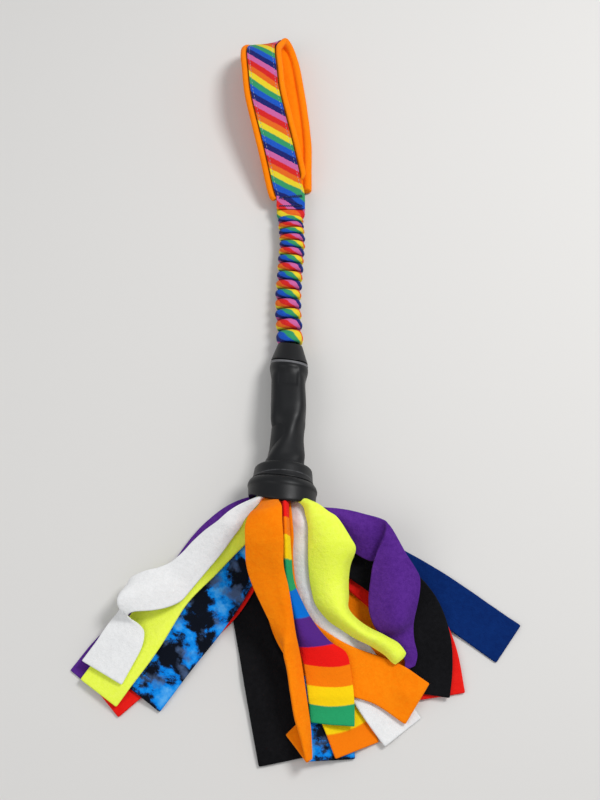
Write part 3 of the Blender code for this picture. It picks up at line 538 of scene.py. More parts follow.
def pressed_flat(u, v):
    widen, press = np.clip(v * 3.2, 0, 1), np.clip((v - 0.40) / 0.16, 0, 1)
    widen, press = (share * share * (3 - 2 * share) for share in (widen, press))
    half, tall = 9.0 + (12.2 - 9.0) * widen, 5.4 + (1.75 - 5.4) * press
    half, tall = (size * np.where(v > 0.995, 0.0, 1.0) for size in (half, tall))
    angle = 2 * np.pi * u
    x = half * np.sign(np.cos(angle)) * np.abs(np.cos(angle)) ** 0.8
    z = tall * np.sign(np.sin(angle)) * np.abs(np.sin(angle)) ** 0.8
    middle = found_at(v * flat_run[-1], flat_run, flat_path)
    return np.stack([middle[0] + x, middle[1], middle[2] + z], axis=1)


fabric = cloth("flat_end", 48, 30, 50, 20, pressed_flat, close=True)
recut(fabric, lambda x, y: (50 * mm - x, y - 12 * mm))
made = piece("bungee_flat_end", fabric, striped_ribbon("pressed_ribbon"), None,
             ["bungee_sewn_end"])
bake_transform(made)
rounded(made)

# Handle strap: 25 mm navy polypropylene webbing bent into a loop, both ends sewn over the flat end.
sewn_lift = 2.95
handle_route = [(-0.5, 16, 11.9), (-3, 24, 14.9), (-7, 41, 20.4), (-12, 62, 26.0), (-18.5, 88, 31.2),
                (-23, 109, 33.9), (-25.2, 130, 34.2), (-27, 151, 30.6), (-26, 163, 24.2),
                (-20.5, 171, 14.4), (-15, 168, 4.9), (-11, 158, 0.9), (-8, 142, 0), (-3, 105, 0),
                (0, 73, 0), (0, 45, 0), (0, 30, 0.1), (0, 23, 0.7), (0, 16, 2.1)]
end = sleeve_line[-1]
handle_points = [end + (0, 1.4, sewn_lift), end + (0, 9, sewn_lift + 0.3)]
handle_points += [np.array((end[0] + x, end[1] + out, 2.1 + lift)) for x, out, lift in handle_route]
handle_points += [end + (0, 9, -sewn_lift - 0.3), end + (0, 1.4, -sewn_lift)]
handle_line = smooth_line(handle_points, 420)
lean = math.radians(8)
handle_run, handle_wide, handle_out = along_line(handle_line, (math.cos(lean), math.sin(lean), 0))
handle_length = handle_run[-1]
strap_wide, ribbon_across, stitch_row = 24.4, 24.6, 10.3


def on_strap(s, x, out):
    """Places at s along the strap, x across it and out from its middle."""
    found, wide, away = (found_at(s, handle_run, line) for line in (handle_line, handle_wide, handle_out))
    return np.stack([f + w * x + a * out for f, w, a in zip(found, wide, away)], axis=1)


navy_strap, _, uv = finish("navy_webbing")
weave = ((uv.part(1) / (1.5 * mm)).wave() + (uv.part(0) / (1.1 * mm)).wave()) * 0.5
navy_tone = (weave * 0.7 + uv.speckle(0.6 * mm) * 0.4).tint((0.003, 0.004, 0.016), (0.012, 0.015, 0.05))
surface(navy_strap, navy_tone, 0.75, weave + uv.speckle(0.3 * mm) * 0.5, 0.25 * mm,
        Specular_IOR_Level=0.25)
fabric = cloth("strap", 12, 260, strap_wide, handle_length - 6.0,
               lambda u, v: on_strap(3.0 + v * (handle_length - 6.0), (u - 0.5) * strap_wide, 0 * u))
made = piece("handle_strap", fabric, navy_strap, "handle", ["handle_webbing"])
thicken(made, 1.5)
handle_length * mm

# Handle ribbon: the same striped ribbon as the sleeve's, laid on the outside of the strap and sewn to
# it and the lining with one row of pale stitches along each edge.
handle_look = striped_ribbon("sewn_ribbon")
# Where along the strap a new stripe starts at the ribbon's left edge, in mm.
stripe_starts = [16.5, 59.0, 106.0, 155.5]


def lay_ribbon(u, v):
    s, x = v * handle_length, (u - 0.5) * ribbon_across
    edge = np.exp(-((np.abs(x) - stitch_row) / 0.8) ** 2)
    puff = 0.12 * uneven_over(u * 3, v * 40, 5.0)
    return on_strap(s, x, 1.45 - 0.22 * edge + puff)


def stripes_at(x, y):
    """Stretches the stripes between the places where they start."""
    s = y / mm
    stripes = float(np.interp(s, stripe_starts, range(1, len(stripe_starts) + 1)))
    beyond = min(s - stripe_starts[0], 0.0) + max(s - stripe_starts[-1], 0.0)
    return x, stripes * stripe_period + beyond * mm


fabric = cloth("ribbon", 40, 420, ribbon_across, handle_length, lay_ribbon)
recut(fabric, stripes_at)
made = piece("handle_stripes", fabric, handle_look, "handle", ["handle_ribbon"])
thicken(made, 0.5)
handle_length * mm


def stitches(name, look, ends, thick, stands_for=()):
    """Short threads between pairs of places in mm."""
    bm = bmesh.new()
    for a, b in ends:
        a, b = Vector(a), Vector(b)
        turn = (b - a).to_track_quat("Z", "Y").to_matrix().to_4x4()
        size = Matrix.Diagonal((thick / 2 * mm, thick / 2 * mm, (b - a).length / 2 * mm, 1))
        bmesh.ops.create_icosphere(bm, subdivisions=1, radius=1.0,
                                   matrix=Matrix.Translation((a + b) / 2 * mm) @ turn @ size)
    return piece(name, bm, look, "handle", stands_for)


def plain_thread(name, colour, pale):
    look, spot, _ = finish(name)
    return surface(look, spot.speckle(2.5 * mm, 1.0).between(0.35, 0.65).tint(colour, pale), 0.55,
                   spot.speckle(0.2 * mm), 0.05 * mm, Specular_IOR_Level=0.3)


edge_places = np.arange(14.0, handle_length - 14.0, 3.2)
pairs = []
for x in (-stitch_row, stitch_row):
    pairs += list(zip(on_strap(edge_places, x, 1.55), on_strap(edge_places + 2.4, x, 1.55)))
stitches("edge_stitches", plain_thread("pale_thread", (0.22, 0.28, 0.45), (0.62, 0.56, 0.60)), pairs, 0.42)

# Bartack: navy thread, a boxed zigzag sewn by machine through both strap ends and the bungee's end.
tack = [(-10.0 + 20.0 * k / 22, 2.2 + 1.6 * (k % 2)) for k in range(23)]
tack += [(10.0 - 20.0 * k / 16, 3.0 + 8.0 * k / 16 + 0.7 * (k % 2)) for k in range(17)]
tack += [(-10.0 + 20.0 * k / 22, 10.8 + 2.6 * (k % 2)) for k in range(23)]
tack_places = on_strap(np.array([s for _, s in tack]), np.array([x for x, _ in tack]), 1.95)
stitches("bartack", plain_thread("navy_thread", (0.004, 0.008, 0.05), (0.02, 0.04, 0.16)),
         list(zip(tack_places, tack_places[1:])), 0.85, ["bartack_thread"])

# Handle lining: orange polar fleece, folded into a padded strip that is sewn inside the loop and
# stands out past the strap on both sides, with a crease down its middle.
fleece_tones = {
    "orange": ((0.96, 0.19, 0.0), (1.0, 0.275, 0.004)),
    "yellow": ((0.80, 0.95, 0.05), (0.90, 1.0, 0.13)),
    "white": ((0.76, 0.76, 0.76), (0.90, 0.90, 0.90)),
    "purple": ((0.060, 0.011, 0.175), (0.125, 0.032, 0.31)),
    "black": ((0.003, 0.003, 0.0035), (0.0095, 0.0095, 0.011)),
    "red": ((0.75, 0.008, 0.006), (0.90, 0.02, 0.014)),
    "navy": ((0.0015, 0.014, 0.10), (0.003, 0.028, 0.16))}


def brushed(name):
    """A new fleece finish, its places, and its two patterns: the fine nap and the larger pills."""
    look, spot, uv = finish(name)
    return look, spot, uv, spot.speckle(0.9 * mm, 3.0, rough=0.65), spot.speckle(3.2 * mm, 2.0)


def fleece_surface(look, tone, nap, pills):
    """Brushed and slightly pilled, with a sheen at its edges."""
    return surface(look, tone, nap.between(0.3, 0.7, 0.88, 1.0), nap * 0.6 + pills * 0.9, 0.5 * mm,
                   Sheen_Weight=0.03, Sheen_Roughness=0.5, Specular_IOR_Level=0.06)


def fleece(colour):
    """Plain polar fleece, softly mottled."""
    look, spot, _, nap, pills = brushed(f"{colour}_fleece")
    drift = spot.speckle(25 * mm, 2.0)
    one, two = fleece_tones[colour]
    tone = (nap * 0.45 + pills * 0.3 + drift * 0.25).between(0.32, 0.68).tint(one, two)
    return fleece_surface(look, tone, nap, pills)


orange_fleece = fleece("orange")
half_section = [(0, -4.7), (3.5, -5.3), (7.0, -5.2), (9.2, -4.3), (10.3, -3.0), (11.3, -4.0), (12.8, -5.3),
                (15.6, -5.0), (17.8, -2.6), (18.3, 0.0),
                (17.2, 1.7), (15.4, 2.2), (13.9, 1.7), (13.3, 0.3), (12.4, -1.05), (6, -1.1)]
section = half_section + [(0, -1.1)] + [(-x, y) for x, y in half_section[:0:-1]]
lining_outline = smooth_line(section + section[:1], 120, before=section[-1])
lining_from, lining_to = 20.0, handle_length - 22.0


def lay_lining(u, v):
    around = u * (len(lining_outline) - 1)
    x = np.interp(around, np.arange(len(lining_outline)), lining_outline[:, 0])
    y = np.interp(around, np.arange(len(lining_outline)), lining_outline[:, 1])
    # Both ends are rounded: the near one more than the far one.
    s = lining_from + (lining_to - lining_from) * v
    near, far = np.clip((s - lining_from) / 8.0, 0, 1), np.clip((lining_to - s) / 3.0, 0, 1)
    round_near, round_far = np.sqrt(1 - (1 - near) ** 2), np.sqrt(1 - (1 - far) ** 2)
    shrink = round_near * round_far
    x = x * (0.55 + 0.45 * shrink) * np.where(shrink > 0, 1, 0)
    y = (y + 1.9) * shrink - 1.9
    swell = uneven_over(x / 9, s / 16, 2.0)
    out = np.hypot(x / 18, (y + 1.9) / 4)
    aslant = (0.28 * np.maximum(x, 0) + 0.85 * np.minimum(x, 0)) * (1 - v) ** 6
    return on_strap(s + aslant, x * (1 + 0.012 * swell), y + 0.35 * swell * np.clip(out - 0.5, 0, 1))


fabric = cloth("lining", 96, 300, 80, lining_to - lining_from, lay_lining, close=True)
made = piece("handle_fleece", fabric, orange_fleece, "handle", ["handle_lining"])
rounded(made)

# Fleece strips: ten strips of polar fleece, 35 mm wide, folded in half. Their folded middles are pushed
# into the grip's mouth as a bundle and tied to the anchor strap, and twenty tails hang out of it.
fleece_looks = {colour: fleece(colour) for colour in fleece_tones if colour != "orange"}
fleece_looks["orange"] = orange_fleece
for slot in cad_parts["fleece_bundle"].material_slots:
    slot.material = fleece_looks["black"]


def banded_fleece(name, colours, last, each):
    """Fleece printed in plain rainbow bands across the strip; last is the band at the strip's end."""
    look, _, uv, nap, pills = brushed(name)
    across = uv.part(0) - strip_wide / 2 * mm
    uneven = (nap - 0.5) * (1.2 * mm) - across * across * 9.0
    phase = ((uv.part(1) * -1.0 + uneven + (each - last) * mm) / (each * len(colours) * mm)) % 1.0
    pale = (nap * 0.6 + pills * 0.4).between(0.32, 0.68, 0.0, 0.22)
    tone = pale.tint(phase.ramp(bands(colours, 0.004)), (0.75, 0.70, 0.68), "SOFT_LIGHT")
    return fleece_surface(look, tone, nap, pills)


def tie_dye():
    """Fleece dyed in blue and black clouds, as ordinary tie-dye is."""
    look, _, uv, nap, pills = brushed("dye_fleece")
    cloud = uv.add("ShaderNodeTexNoise", Vector=uv, Scale=1 / (24 * mm), Detail=5.0, Roughness=0.6,
                   Distortion=0.25)
    stops = [(0.0, (0.003, 0.004, 0.007)), (0.475, (0.004, 0.006, 0.012)), (0.50, (0.01, 0.06, 0.20)),
             (0.525, (0.0, 0.19, 0.70)), (0.57, (0.008, 0.28, 0.84)), (0.66, (0.10, 0.42, 0.88))]
    colour = (cloud + (nap - 0.5) * 0.08).ramp(stops)
    greyish = uv.add("ShaderNodeMapping", Vector=uv, Location=(0.3, 0.1, 0.0)).speckle(15 * mm, 4.0)
    colour = greyish.between(0.54, 0.66, 0.0, 0.8).tint(colour, (0.075, 0.125, 0.25))
    return fleece_surface(look, colour, nap, pills)


fleece_thick, strip_wide = 1.8, 35.0
red_band, orange_band, yellow_band = (0.86, 0.010, 0.008), (0.95, 0.20, 0.003), (0.98, 0.66, 0.006)
green_band, blue_band, purple_band = (0.02, 0.34, 0.13), (0.002, 0.15, 0.66), (0.085, 0.02, 0.22)
fleece_looks["rainbow"] = banded_fleece(
    "rainbow_fleece", [green_band, yellow_band, orange_band, red_band, purple_band, blue_band], 14, 18)
fleece_looks["rainbow_other"] = banded_fleece(
    "rainbow_fleece_other", [orange_band, yellow_band, green_band, blue_band, purple_band, red_band], 17, 26)
fleece_looks["dye"] = tie_dye()

# Along the grip in mm: where the strips are squeezed, its end, and where they hang out over the lip.
squeezed_at, grip_length, lip_at = 123.8, 138.0, 142.0
# A strip lies this far above the one under it, in mm, and its first rows are held in the mouth.
loose, held_rows = 0.35, 4
mouth_centre = tail + grip_length * np.array(grip_along)


def in_mouth(x, along, z):
    """A place across, along and above the grip's axis."""
    return tail + np.array(grip_across) * x + np.array(grip_along) * along + np.array(grip_above) * z


class Pile:
    """How high the strips already laid stand, on a fine grid over the floor in front of the mouth."""

    def __init__(self):
        self.cell, self.low = 1.5, np.array((mouth_centre[0] - 225, mouth_centre[1] - 225))
        self.top = np.zeros((300, 180))

    def at(self, xy):
        return np.clip(np.floor((xy - self.low) / self.cell).astype(int), 0, np.array(self.top.shape) - 1)

    def under(self, xy):
        at = self.at(xy)
        return self.top[at[..., 0], at[..., 1]]

    def add(self, grid):
        """Takes a laid strip's upper side, with points between its rows and columns."""
        for share in (0.0, 0.25, 0.5, 0.75):
            rows = grid[:-1] * (1 - share) + grid[1:] * share
            for other in (0.0, 0.5):
                points = rows[:, :-1] * (1 - other) + rows[:, 1:] * other
                at = self.at(points[..., :2]).reshape(-1, 2)
                z = points[..., 2].reshape(-1) + fleece_thick
                for dx in (-1, 0, 1):
                    for dy in (-1, 0, 1):
                        to = np.clip(at + (dx, dy), 0, np.array(self.top.shape) - 1)
                        np.maximum.at(self.top, (to[:, 0], to[:, 1]), z)


def softened(z):
    """Each height evened out with its neighbours."""
    wide = np.pad(z, 1, mode="edge")
    rows = (wide[:-2, 1:-1] + 2 * z + wide[2:, 1:-1]) / 4
    wide = np.pad(rows, 1, mode="edge")
    return (wide[1:-1, :-2] + 2 * rows + wide[1:-1, 2:]) / 4


def root_at(across, above, wide):
    """Where a strip leaves the bundle: its middle inside the mouth and at the lip, and its width."""
    return in_mouth(across, squeezed_at, above), in_mouth(across, lip_at, above), wide


def strip_root(side, level, levels):
    """A strip's place among the others on its side of the bundle."""
    z = 17.0 * (2 * level / (levels - 1) - 1)
    wide = math.sqrt(21.2 ** 2 - (abs(z) + 1.3) ** 2) - 1.5
    return root_at(side * (1.5 + wide / 2), z, wide)


def plain_net(root, stations):
    """A strip that lies open along its middle line: rows of points from its left to its right edge."""
    start, lip, wide = root
    points = [(lip[0], lip[1], wide)]
    for x, out, *full in stations:
        spread = wide + (strip_wide - wide) * min(out / 45.0, 1.0)
        width = min(full[0] if full else strip_wide, spread)
        points.append((mouth_centre[0] + x, mouth_centre[1] - out, width))
    line = smooth_line(points, 84, before=(start[0], start[1], wide))
    inside = [(*(start[:2] + (lip[:2] - start[:2]) * k / held_rows), wide) for k in range(held_rows)]
    line = np.vstack([inside, line])
    step = np.gradient(line[:, :2], axis=0)
    step /= np.linalg.norm(step, axis=1)[:, None]
    for _ in range(3):
        step[1:-1] = (step[:-2] + 2 * step[1:-1] + step[2:]) / 4
    sideways = np.stack([-step[:, 1], step[:, 0]], axis=1)
    share = np.linspace(1, -1, 17)
    grid = np.zeros((len(line), len(share), 3))
    grid[..., :2] = line[:, None, :2] + sideways[:, None] * (line[:, 2, None] / 2 * share)[..., None]
    run = length_along(line[:, :2])
    out_at = run[held_rows]
    out = run - out_at
    fall = 0.5 + 0.5 * np.cos(np.pi * np.clip(out / 75.0, 0, 1))
    height = np.where(out < 0, np.interp(run, [0, out_at], [start[2], lip[2]]), lip[2] * fall) - fall
    grid[..., 2] = height[:, None]
    lost = np.sqrt(np.maximum(strip_wide ** 2 - line[:, 2] ** 2, 0) * 3 / 16)
    return grid, lost, out


def lay_strip(grid, lost, out, pile, arch, seed):
    """Lets an open strip settle on the pile, softly bridging its steps, then arches and ruffles it."""
    wanted = grid[..., 2].copy()
    under = pile.under(grid[..., :2])
    floor_here = np.maximum(wanted, np.where(under > 0, under + loose, 0.0))
    floor_here[:held_rows + 1] = wanted[:held_rows + 1]
    z = floor_here.copy()
    for _ in range(46):
        z = np.maximum(softened(z), floor_here)
        z[:held_rows + 1] = wanted[:held_rows + 1]
    share = np.linspace(1, -1, grid.shape[1])
    rise = lost * np.clip((out - 6) / 30, 0, 1) * arch
    z += rise[:, None] * (1 - share[None, :] ** 2)
    wave = uneven_over(grid[..., 0].ravel() / 34, grid[..., 1].ravel() / 34, seed)
    edge = np.abs(share)[None, :] ** 3
    free = np.clip((out - 10) / 30, 0, 1)[:, None]
    ripple = np.clip(wave.reshape(z.shape), 0, 1)
    z += free * (1.1 * ripple + 1.6 * edge * ripple)
    grid[..., 2] = z
    return grid


def folded_net(root, net, rows=110, columns=21):
    """A strip given rib by rib from edge to edge, with folds; it starts at its place in the mouth."""
    start, lip, wide = root
    count = len(net[0])
    ribs = []
    for middle in (start, start + (lip - start) * 0.45, start + (lip - start) * 0.9):
        share = np.linspace(-0.5, 0.5, count)[:, None] * wide
        if net[0][0][0] > net[0][-1][0]:
            share = -share
        ribs.append(middle + share * np.array(grip_across))
    ribs = np.array(ribs + [np.array(rib, float) for rib in net])
    middle = ribs.mean(axis=1)
    flat = ribs.reshape(len(ribs), -1)
    line = smooth_line(np.hstack([middle, flat]), rows)[:, 3:].reshape(rows, count, 3)
    steps = np.linspace(0, count - 1, columns)
    k = np.clip(steps.astype(int), 0, count - 2)
    t = (steps - k)[None, :, None]
    wider = [2 * line[:, :1] - line[:, 1:2], line, 2 * line[:, -1:] - line[:, -2:-1]]
    wider = np.concatenate(wider, axis=1)
    return curve(*(wider[:, k + n] for n in range(4)), t)


def lay_folded(grid, pile, seed):
    """Raises each rib of a folded strip as a whole, by what its lowest points lack above the pile."""
    under = pile.under(grid[..., :2])
    lack = np.where(under > 0, under + loose, 0.0) - grid[..., 2]
    lowest = grid[..., 2] < grid[..., 2].min(axis=1)[:, None] + 26
    need = np.maximum(np.where(lowest, lack, 0.0).max(axis=1), 0.0)
    need[:14] = 0.0
    lift = need.copy()
    for _ in range(24):
        soft = lift.copy()
        soft[1:-1] = (lift[:-2] + 2 * lift[1:-1] + lift[2:]) / 4
        soft[-1] = (lift[-2] + lift[-1]) / 2
        lift = np.maximum(soft, need)
    lift[:8] = 0.0
    grid[..., 2] += lift[:, None]
    wave = uneven_over(grid[..., 0].ravel() / 30, grid[..., 1].ravel() / 30, seed)
    free = np.clip((np.arange(len(grid)) - 16) / 20, 0, 1)[:, None]
    grid[..., 2] += 0.8 * free * np.abs(wave.reshape(grid.shape[:2]))
    return grid


# Lowest first: name, colour, side of the bundle, how much it is arched, and its middle line, given
# right of the mouth and out from it in mm, with its width where it lies narrower than it was cut.
open_strips = {
    "navy_left": (0.1, [(-7, 12), (-3, 49), (-5, 88), (-1, 140), (5, 180)]),
    "navy_right": (0.1, [(23, 12), (61, 31), (99, 55), (136, 80), (172, 106)]),
    "black_left": (0.15, [(-11, 8), (-15, 31), (-22, 65), (-20, 84), (-14, 115), (-7, 152), (1, 192)]),
    "orange_low": (0.1, [(17, 13), (36, 41), (54, 70), (73, 99), (89, 120), (102, 139)]),
    "red_right": (0.15, [(21, 13), (49, 40), (75, 63), (99, 82), (114, 109), (120, 145)]),
    "black_right": (0.2, [(20, 13), (51, 37), (79, 55), (101, 76), (110, 101), (111, 122), (108, 144)]),
    "orange_centre": (0.2, [(9, 13), (14, 43), (28, 82), (37, 119), (38, 148), (28, 169, 31), (11, 183, 25)]),
    "dye_bottom": (0.15, [(10, 10), (16, 42), (27, 92), (33, 133), (35, 162), (37, 191)]),
    "purple_left": (0.2, [(-20, 4), (-33, 8, 30), (-45, 16), (-58, 31), (-77, 61), (-107, 93), (-128, 114),
                          (-145, 136)]),
    "red_left": (0.2, [(-15, 9), (-21, 28), (-31, 48), (-47, 74), (-71, 96), (-94, 114), (-132, 147)]),
    "dye_left": (0.25, [(-16, 11), (-26, 33), (-40, 59), (-56, 83), (-78, 111), (-104, 146)]),
    "rainbow_second": (0.2, [(12, 13), (17, 44), (25, 78), (33, 112), (41, 145), (49, 166), (56, 184)]),
    "white_right": (0.7, [(11, 12), (13, 31, 27), (17, 57, 27), (27, 80, 28), (44, 104, 31), (60, 128),
                          (75, 151), (90, 171)]),
    "orange_right": (0.25, [(1, 12), (-3, 31, 25), (-3.5, 48, 25), (-0.5, 72, 26), (9, 97, 30), (24, 114),
                            (45, 126), (77, 136), (101, 151)]),
    "yellow_left": (0.3, [(-12, 8, 16), (-30, 21, 24), (-55, 39, 30), (-83.5, 67, 31), (-106, 101),
                          (-123, 125), (-136, 143)])}

# The folded ones, rib by rib from the mouth to the end, each point with its x, y and z in mm. The second
# purple tail bends over itself and drops at its end.
folded_strips = {
    "purple_right": [
        [(21, -143, 34), (21.5, -137, 40), (21, -132, 39)],
        [(29.5, -150, 30), (31, -140, 38), (31, -132.5, 38)],
        [(36, -157, 27), (39.5, -144, 36), (42, -134, 37)],
        [(43, -163, 23), (48, -148, 34), (52, -136.5, 36.5)],
        [(51, -167, 20), (56, -152, 31), (60, -138.5, 36)],
        [(58, -168.5, 18), (62, -154, 27), (64, -140, 36)],
        [(64, -165, 21), (66.5, -153, 30), (66.5, -141.5, 36.5)],
        [(62, -163, 30), (66, -152, 35), (68.5, -143.5, 36.5)],
        [(59.5, -166.5, 31), (66, -154.5, 36), (70.5, -146, 36)],
        [(57.5, -171, 28), (67.5, -159, 35), (73.5, -150.5, 34.5)],
        [(56, -177, 24), (69.5, -167, 32.5), (78, -158, 31.5)],
        [(55, -184, 21), (71, -176, 29), (83, -166, 28)], [(54, -191, 18), (74, -185, 26.5), (89, -174, 23)],
        [(53.5, -198, 16), (75, -193, 25), (93, -181, 18)],
        [(54, -207, 15), (76, -202, 24), (92.5, -192, 16)], [(57, -216, 14), (76, -211, 23), (90, -203, 14)],
        [(61.5, -222, 12), (76, -218, 19.5), (88, -211, 12)],
        [(67, -226, 8), (78, -222.5, 10.5), (87.5, -217, 8)],
        [(73, -232, 5.5), (81, -230, 7), (88, -226.5, 5.5)],
        [(80, -240, 3.5), (85, -239, 4), (90, -237, 3.5)],
        [(80, -249, 3), (84, -247.5, 3.5), (88, -245.5, 3)]],
    # The white tail turns toward the viewer, and its inner edge stands up in a curl there.
    "white_left": [
        [(-29, -129, 43), (-27, -126, 46), (-24, -124, 45)],
        [(-39, -139, 34), (-41, -133, 38), (-41, -128, 37)],
        [(-44, -147, 29), (-47, -141, 33), (-51, -133, 33)],
        [(-50, -154, 25), (-55, -147, 29.5), (-60, -140, 30)],
        [(-58, -164, 22), (-64, -155, 26.5), (-70, -146, 27)],
        [(-68, -175, 18), (-74, -164, 22), (-80, -154, 23)],
        [(-76, -184, 15), (-82, -173, 19), (-88, -162, 20)],
        [(-82, -191, 13), (-90, -181, 17), (-97, -169, 18)],
        [(-88, -198, 13), (-98, -186, 18), (-106, -173, 18)],
        [(-97, -203, 15.5), (-106, -189, 20.5), (-114, -175, 18)],
        [(-107, -206, 18.5), (-115, -191, 22.5), (-121, -177.5, 17)],
        [(-116, -207, 20), (-124, -192, 24), (-127, -181, 15)],
        [(-122, -207.5, 20.5), (-131, -195, 25), (-129, -186, 12)],
        [(-126.5, -209, 19), (-134, -199, 25), (-130, -191, 10)],
        [(-127, -212, 15), (-133.5, -203, 23), (-131.5, -196, 8.5)],
        [(-123, -214, 12), (-131, -207, 19), (-133, -200, 8)],
        [(-119, -215.5, 10.5), (-128.5, -210.5, 14.5), (-135.5, -205, 8)],
        [(-115.5, -219, 9), (-128, -214, 11), (-139, -209, 8)],
        [(-115, -226, 8), (-131, -221, 9), (-144, -216, 7.5)],
        [(-117, -234, 7.5), (-134, -229.5, 7.5), (-150, -226, 7)],
        [(-122.5, -245, 7), (-139, -240, 7), (-156, -234.5, 6.5)],
        [(-130, -260, 6.5), (-145.5, -251, 6.5), (-161, -242, 6.5)]],
    # The middle rainbow tail leaves the mouth as a narrow tent, and opens flat at its end.
    "rainbow_centre": [
        [(-12, -138, 26), (-11, -138, 32), (-9.5, -137.5, 37), (-8, -137, 32), (-7, -137, 26)],
        [(-12, -150, 18), (-11, -150, 25), (-9.2, -150, 31.5), (-7.5, -150, 26), (-6.3, -150, 19)],
        [(-12, -168, 12), (-11, -168, 19), (-8.8, -168.5, 26.5), (-6.5, -169, 20), (-5, -169, 13)],
        [(-12, -184, 9), (-10.5, -184, 16), (-8, -184, 23.5), (-5.5, -184, 18), (-3.5, -184, 12)],
        [(-11, -197, 8), (-9, -197, 14), (-6, -196, 21.5), (-3, -195, 18), (0, -194, 12)],
        [(-8, -213, 8), (-5, -213, 13.5), (-1, -213, 20), (4.5, -213, 18), (10.5, -213, 14)],
        [(-4, -228, 8), (0, -228, 14), (5.5, -228.5, 18.5), (14, -229, 18), (23.5, -229, 15)],
        [(2.5, -239, 11.5), (8, -239, 15), (16, -238.5, 17), (26, -237.5, 17), (36, -237, 15)],
        [(5, -248, 12.5), (13, -248, 14.5), (22, -248.5, 15.5), (31, -249, 15.5), (39.5, -249, 14)],
        [(8, -271, 10.5), (16, -271, 11.5), (25, -271, 12), (34, -271, 12), (42, -271, 11)],
        [(9.5, -287, 9), (17, -288, 9.5), (25.5, -289, 10), (34, -289.5, 10), (42, -290, 9)]],
    # The second yellow tail arches up like half a pipe, and its end rolls down.
    "yellow_right": [
        [(4, -133, 45), (7, -132, 48), (10, -131.5, 48.5), (14, -132, 47), (17, -133, 43)],
        [(6, -140, 41), (10, -138, 45), (15, -137, 45.5), (20, -137, 43.5), (24, -138, 38)],
        [(8, -149, 36.5), (12, -148, 40), (18, -146, 41.5), (25, -143.5, 40), (31, -143, 35)],
        [(8, -161, 31), (14, -160.5, 35), (22, -159.5, 37.5), (32, -157.5, 36.5), (40, -156, 31)],
        [(8, -172, 28), (15, -171, 32), (24, -169.5, 35.5), (34, -167, 34.5), (44, -163, 29)],
        [(9, -184, 25.5), (15, -183, 29.5), (24, -180.5, 32.5), (33, -177, 31.5), (40, -173, 23)],
        [(11, -194, 23), (17, -193, 28), (25, -190, 31), (33, -187.5, 28.5), (38.5, -184, 19)],
        [(14, -203, 21), (20, -202, 27), (27.5, -199.5, 30), (34.5, -197.5, 26.5), (38.5, -195, 17)],
        [(23, -213.5, 18), (26.5, -211.5, 25.5), (31, -209.5, 29), (35.5, -207.5, 26), (38, -204, 17)],
        [(33, -220.5, 16.5), (36, -219, 23), (39, -217, 25.5), (42, -215, 22), (44, -212, 15)],
        [(44.5, -227.5, 14), (47, -226, 20), (49.5, -224.5, 22), (52.5, -222.5, 19), (55, -219.5, 12.5)],
        [(56, -233, 12.5), (58.5, -231.5, 17.5), (61, -229.5, 19), (64, -227.5, 16.5), (66, -225, 11.5)],
        [(65, -238, 10.5), (67.5, -236.5, 15), (70, -234.5, 16.5), (72.5, -232, 15), (74.5, -229, 11)],
        [(70, -243, 8), (72.5, -241.5, 11.5), (75, -239.5, 12.5), (77.5, -237, 11.5), (79, -234, 8.5)],
        [(73, -245, 4), (75, -243.5, 5), (77.5, -241.5, 5.5), (79.5, -239.5, 5), (81, -237, 4)]],
    # The topmost orange tail lies open at first, then folds along its middle into a leaning tent.
    "orange_left": [
        [(-30, -134, 38), (-26, -134, 43), (-21, -133, 46), (-17, -131.5, 46), (-14, -130, 44)],
        [(-35.5, -141, 33), (-30, -142, 38.5), (-23, -142, 41.5), (-16.5, -140, 42), (-11.5, -137, 41)],
        [(-38.5, -151, 30), (-31.5, -151, 33), (-24, -150.5, 35.5), (-16.5, -150, 36.5), (-11, -149, 36)],
        [(-38.5, -163, 24.5), (-30.5, -163, 28), (-22.5, -163, 30), (-16, -163, 31), (-10, -163, 31)],
        [(-38, -177, 21.5), (-29.5, -177.5, 24), (-21, -178, 26), (-15, -179, 27), (-10, -179, 27)],
        [(-33.5, -191, 19), (-25.5, -192, 21.5), (-18, -192.5, 23), (-12, -193, 24), (-6.5, -193, 23)],
        [(-24, -210, 16.5), (-18, -210, 19), (-12.5, -209.5, 20.5), (-8, -209, 21.5), (-4, -208, 18.5)],
        [(-15.5, -225, 13.5), (-12.5, -225.5, 16.5), (-9, -225, 19), (-5.5, -224.5, 19), (-1.5, -224, 15)],
        [(-6, -240, 8), (-9, -240, 13), (-9, -239.5, 19), (-4, -239, 17), (1.5, -237, 11)],
        [(-2, -252, 7.5), (-6, -252, 12), (-6.5, -251, 18), (-1.5, -250, 15), (3.5, -248, 9)],
        [(1, -268, 7), (-3.5, -268, 11), (-4, -268, 17), (1, -268, 13.5), (6.5, -268, 8)],
        [(4, -285, 6.5), (-0.5, -285, 10), (-1, -285, 15.5), (4, -285, 12), (9, -285, 7)],
        [(6, -298, 6), (3, -298, 9), (3, -298, 13), (6.5, -297, 11), (10, -296, 6.5)],
        [(8.5, -314, 5), (7.5, -314.5, 7), (7, -315, 9.5), (8.5, -314.5, 8), (10.5, -313, 5.5)]]}

pile = Pile()
laying_order = ["navy_left", "navy_right", "black_left", "orange_low", "red_right", "black_right",
                "purple_right", "orange_centre", "dye_bottom", "purple_left", "red_left", "dye_left",
                "rainbow_second", "white_right", "orange_right", "yellow_left", "white_left",
                "rainbow_centre", "yellow_right", "orange_left"]
right_side = ("navy_right", "orange_low", "red_right", "black_right", "purple_right", "orange_centre",
              "dye_bottom", "rainbow_second", "white_right", "orange_right", "rainbow_centre", "yellow_right")
left_side = [name for name in laying_order if name not in right_side]
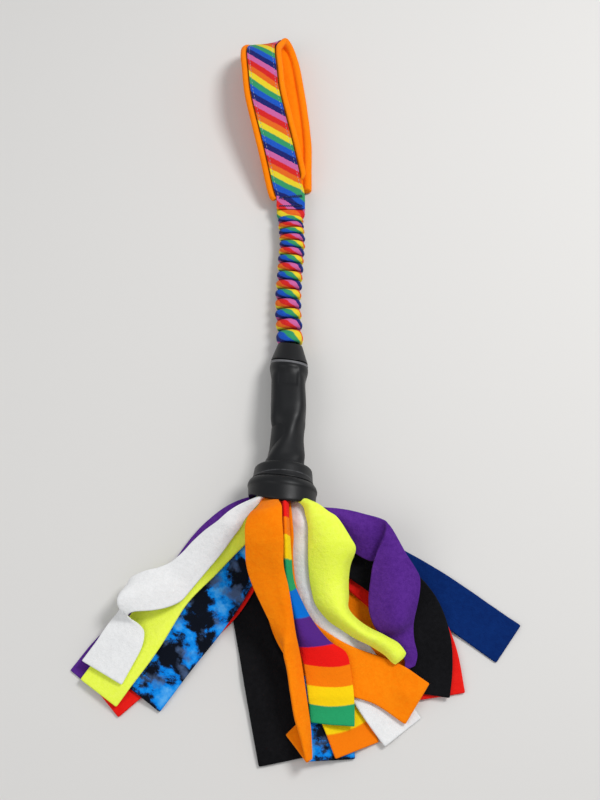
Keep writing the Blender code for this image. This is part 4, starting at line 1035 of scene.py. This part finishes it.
# The topmost ones come out beside each other: across the mouth, above its middle, and how wide.
topmost = {"rainbow_centre": (2.6, 13.5, 6.5), "yellow_right": (11.6, 12.0, 9.0),
           "orange_left": (-7.5, 13.0, 12.0), "orange_right": (4.0, 10.3, 6.5),
           "white_right": (9.5, 7.6, 11.0)}
# Where the bands of the middle rainbow tail end, from its end toward the mouth.
band_places = [0, 14, 28, 43.5, 61.5, 86.5, 107, 130.5, 148, 162, 180]
band_ends = [14 + 18 * (k - 1) if k else 0 for k in range(len(band_places))]


def from_its_end(x, y):
    """Measures a strip's cut from its end, and stretches the middle rainbow's bands to their places."""
    from_end = long - y / mm
    if strip == "rainbow_centre":
        from_end = float(np.interp(from_end, band_places, band_ends))
    return x, -from_end * mm


for number, strip in enumerate(laying_order):
    if strip in topmost:
        root = root_at(*topmost[strip])
    else:
        ours = right_side if strip in right_side else left_side
        root = strip_root(1 if strip in right_side else -1, ours.index(strip), len(ours))
    if strip in open_strips:
        arch, stations = open_strips[strip]
        grid = lay_strip(*plain_net(root, stations), pile, arch, 10.0 + number)
    else:
        grid = lay_folded(folded_net(root, folded_strips[strip]), pile, 10.0 + number)
    pile.add(grid)
    rows, columns = grid.shape[0] - 1, grid.shape[1] - 1
    long = float(np.linalg.norm(np.diff(grid[:, columns // 2], axis=0), axis=1).sum())

    def settle(u, v, grid=grid, rows=rows, columns=columns):
        found = grid[np.rint(v * rows).astype(int), np.rint(u * columns).astype(int)].copy()
        found[:, 2] += fleece_thick / 2
        return found

    fabric = cloth(strip, columns, rows, strip_wide, long, settle)
    recut(fabric, from_its_end)
    colour = strip.split("_")[0]
    look = fleece_looks["rainbow_other" if strip == "rainbow_second" else colour]
    lifts = {"orange_left": "orange_tail", "yellow_right": "yellow_tail"}.get(strip)
    nodes = [f"tail_{strip}"] + ([f"root_{strip}"] if lifts else [])
    made = piece(f"strip_{strip}", fabric, look, None if lifts else "grip", nodes)
    if lifts:
        near, far = (grid[row, columns // 2] * mm for row in (12, 26))
        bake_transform(made)
    thicken(made, fleece_thick)
    rounded(made)
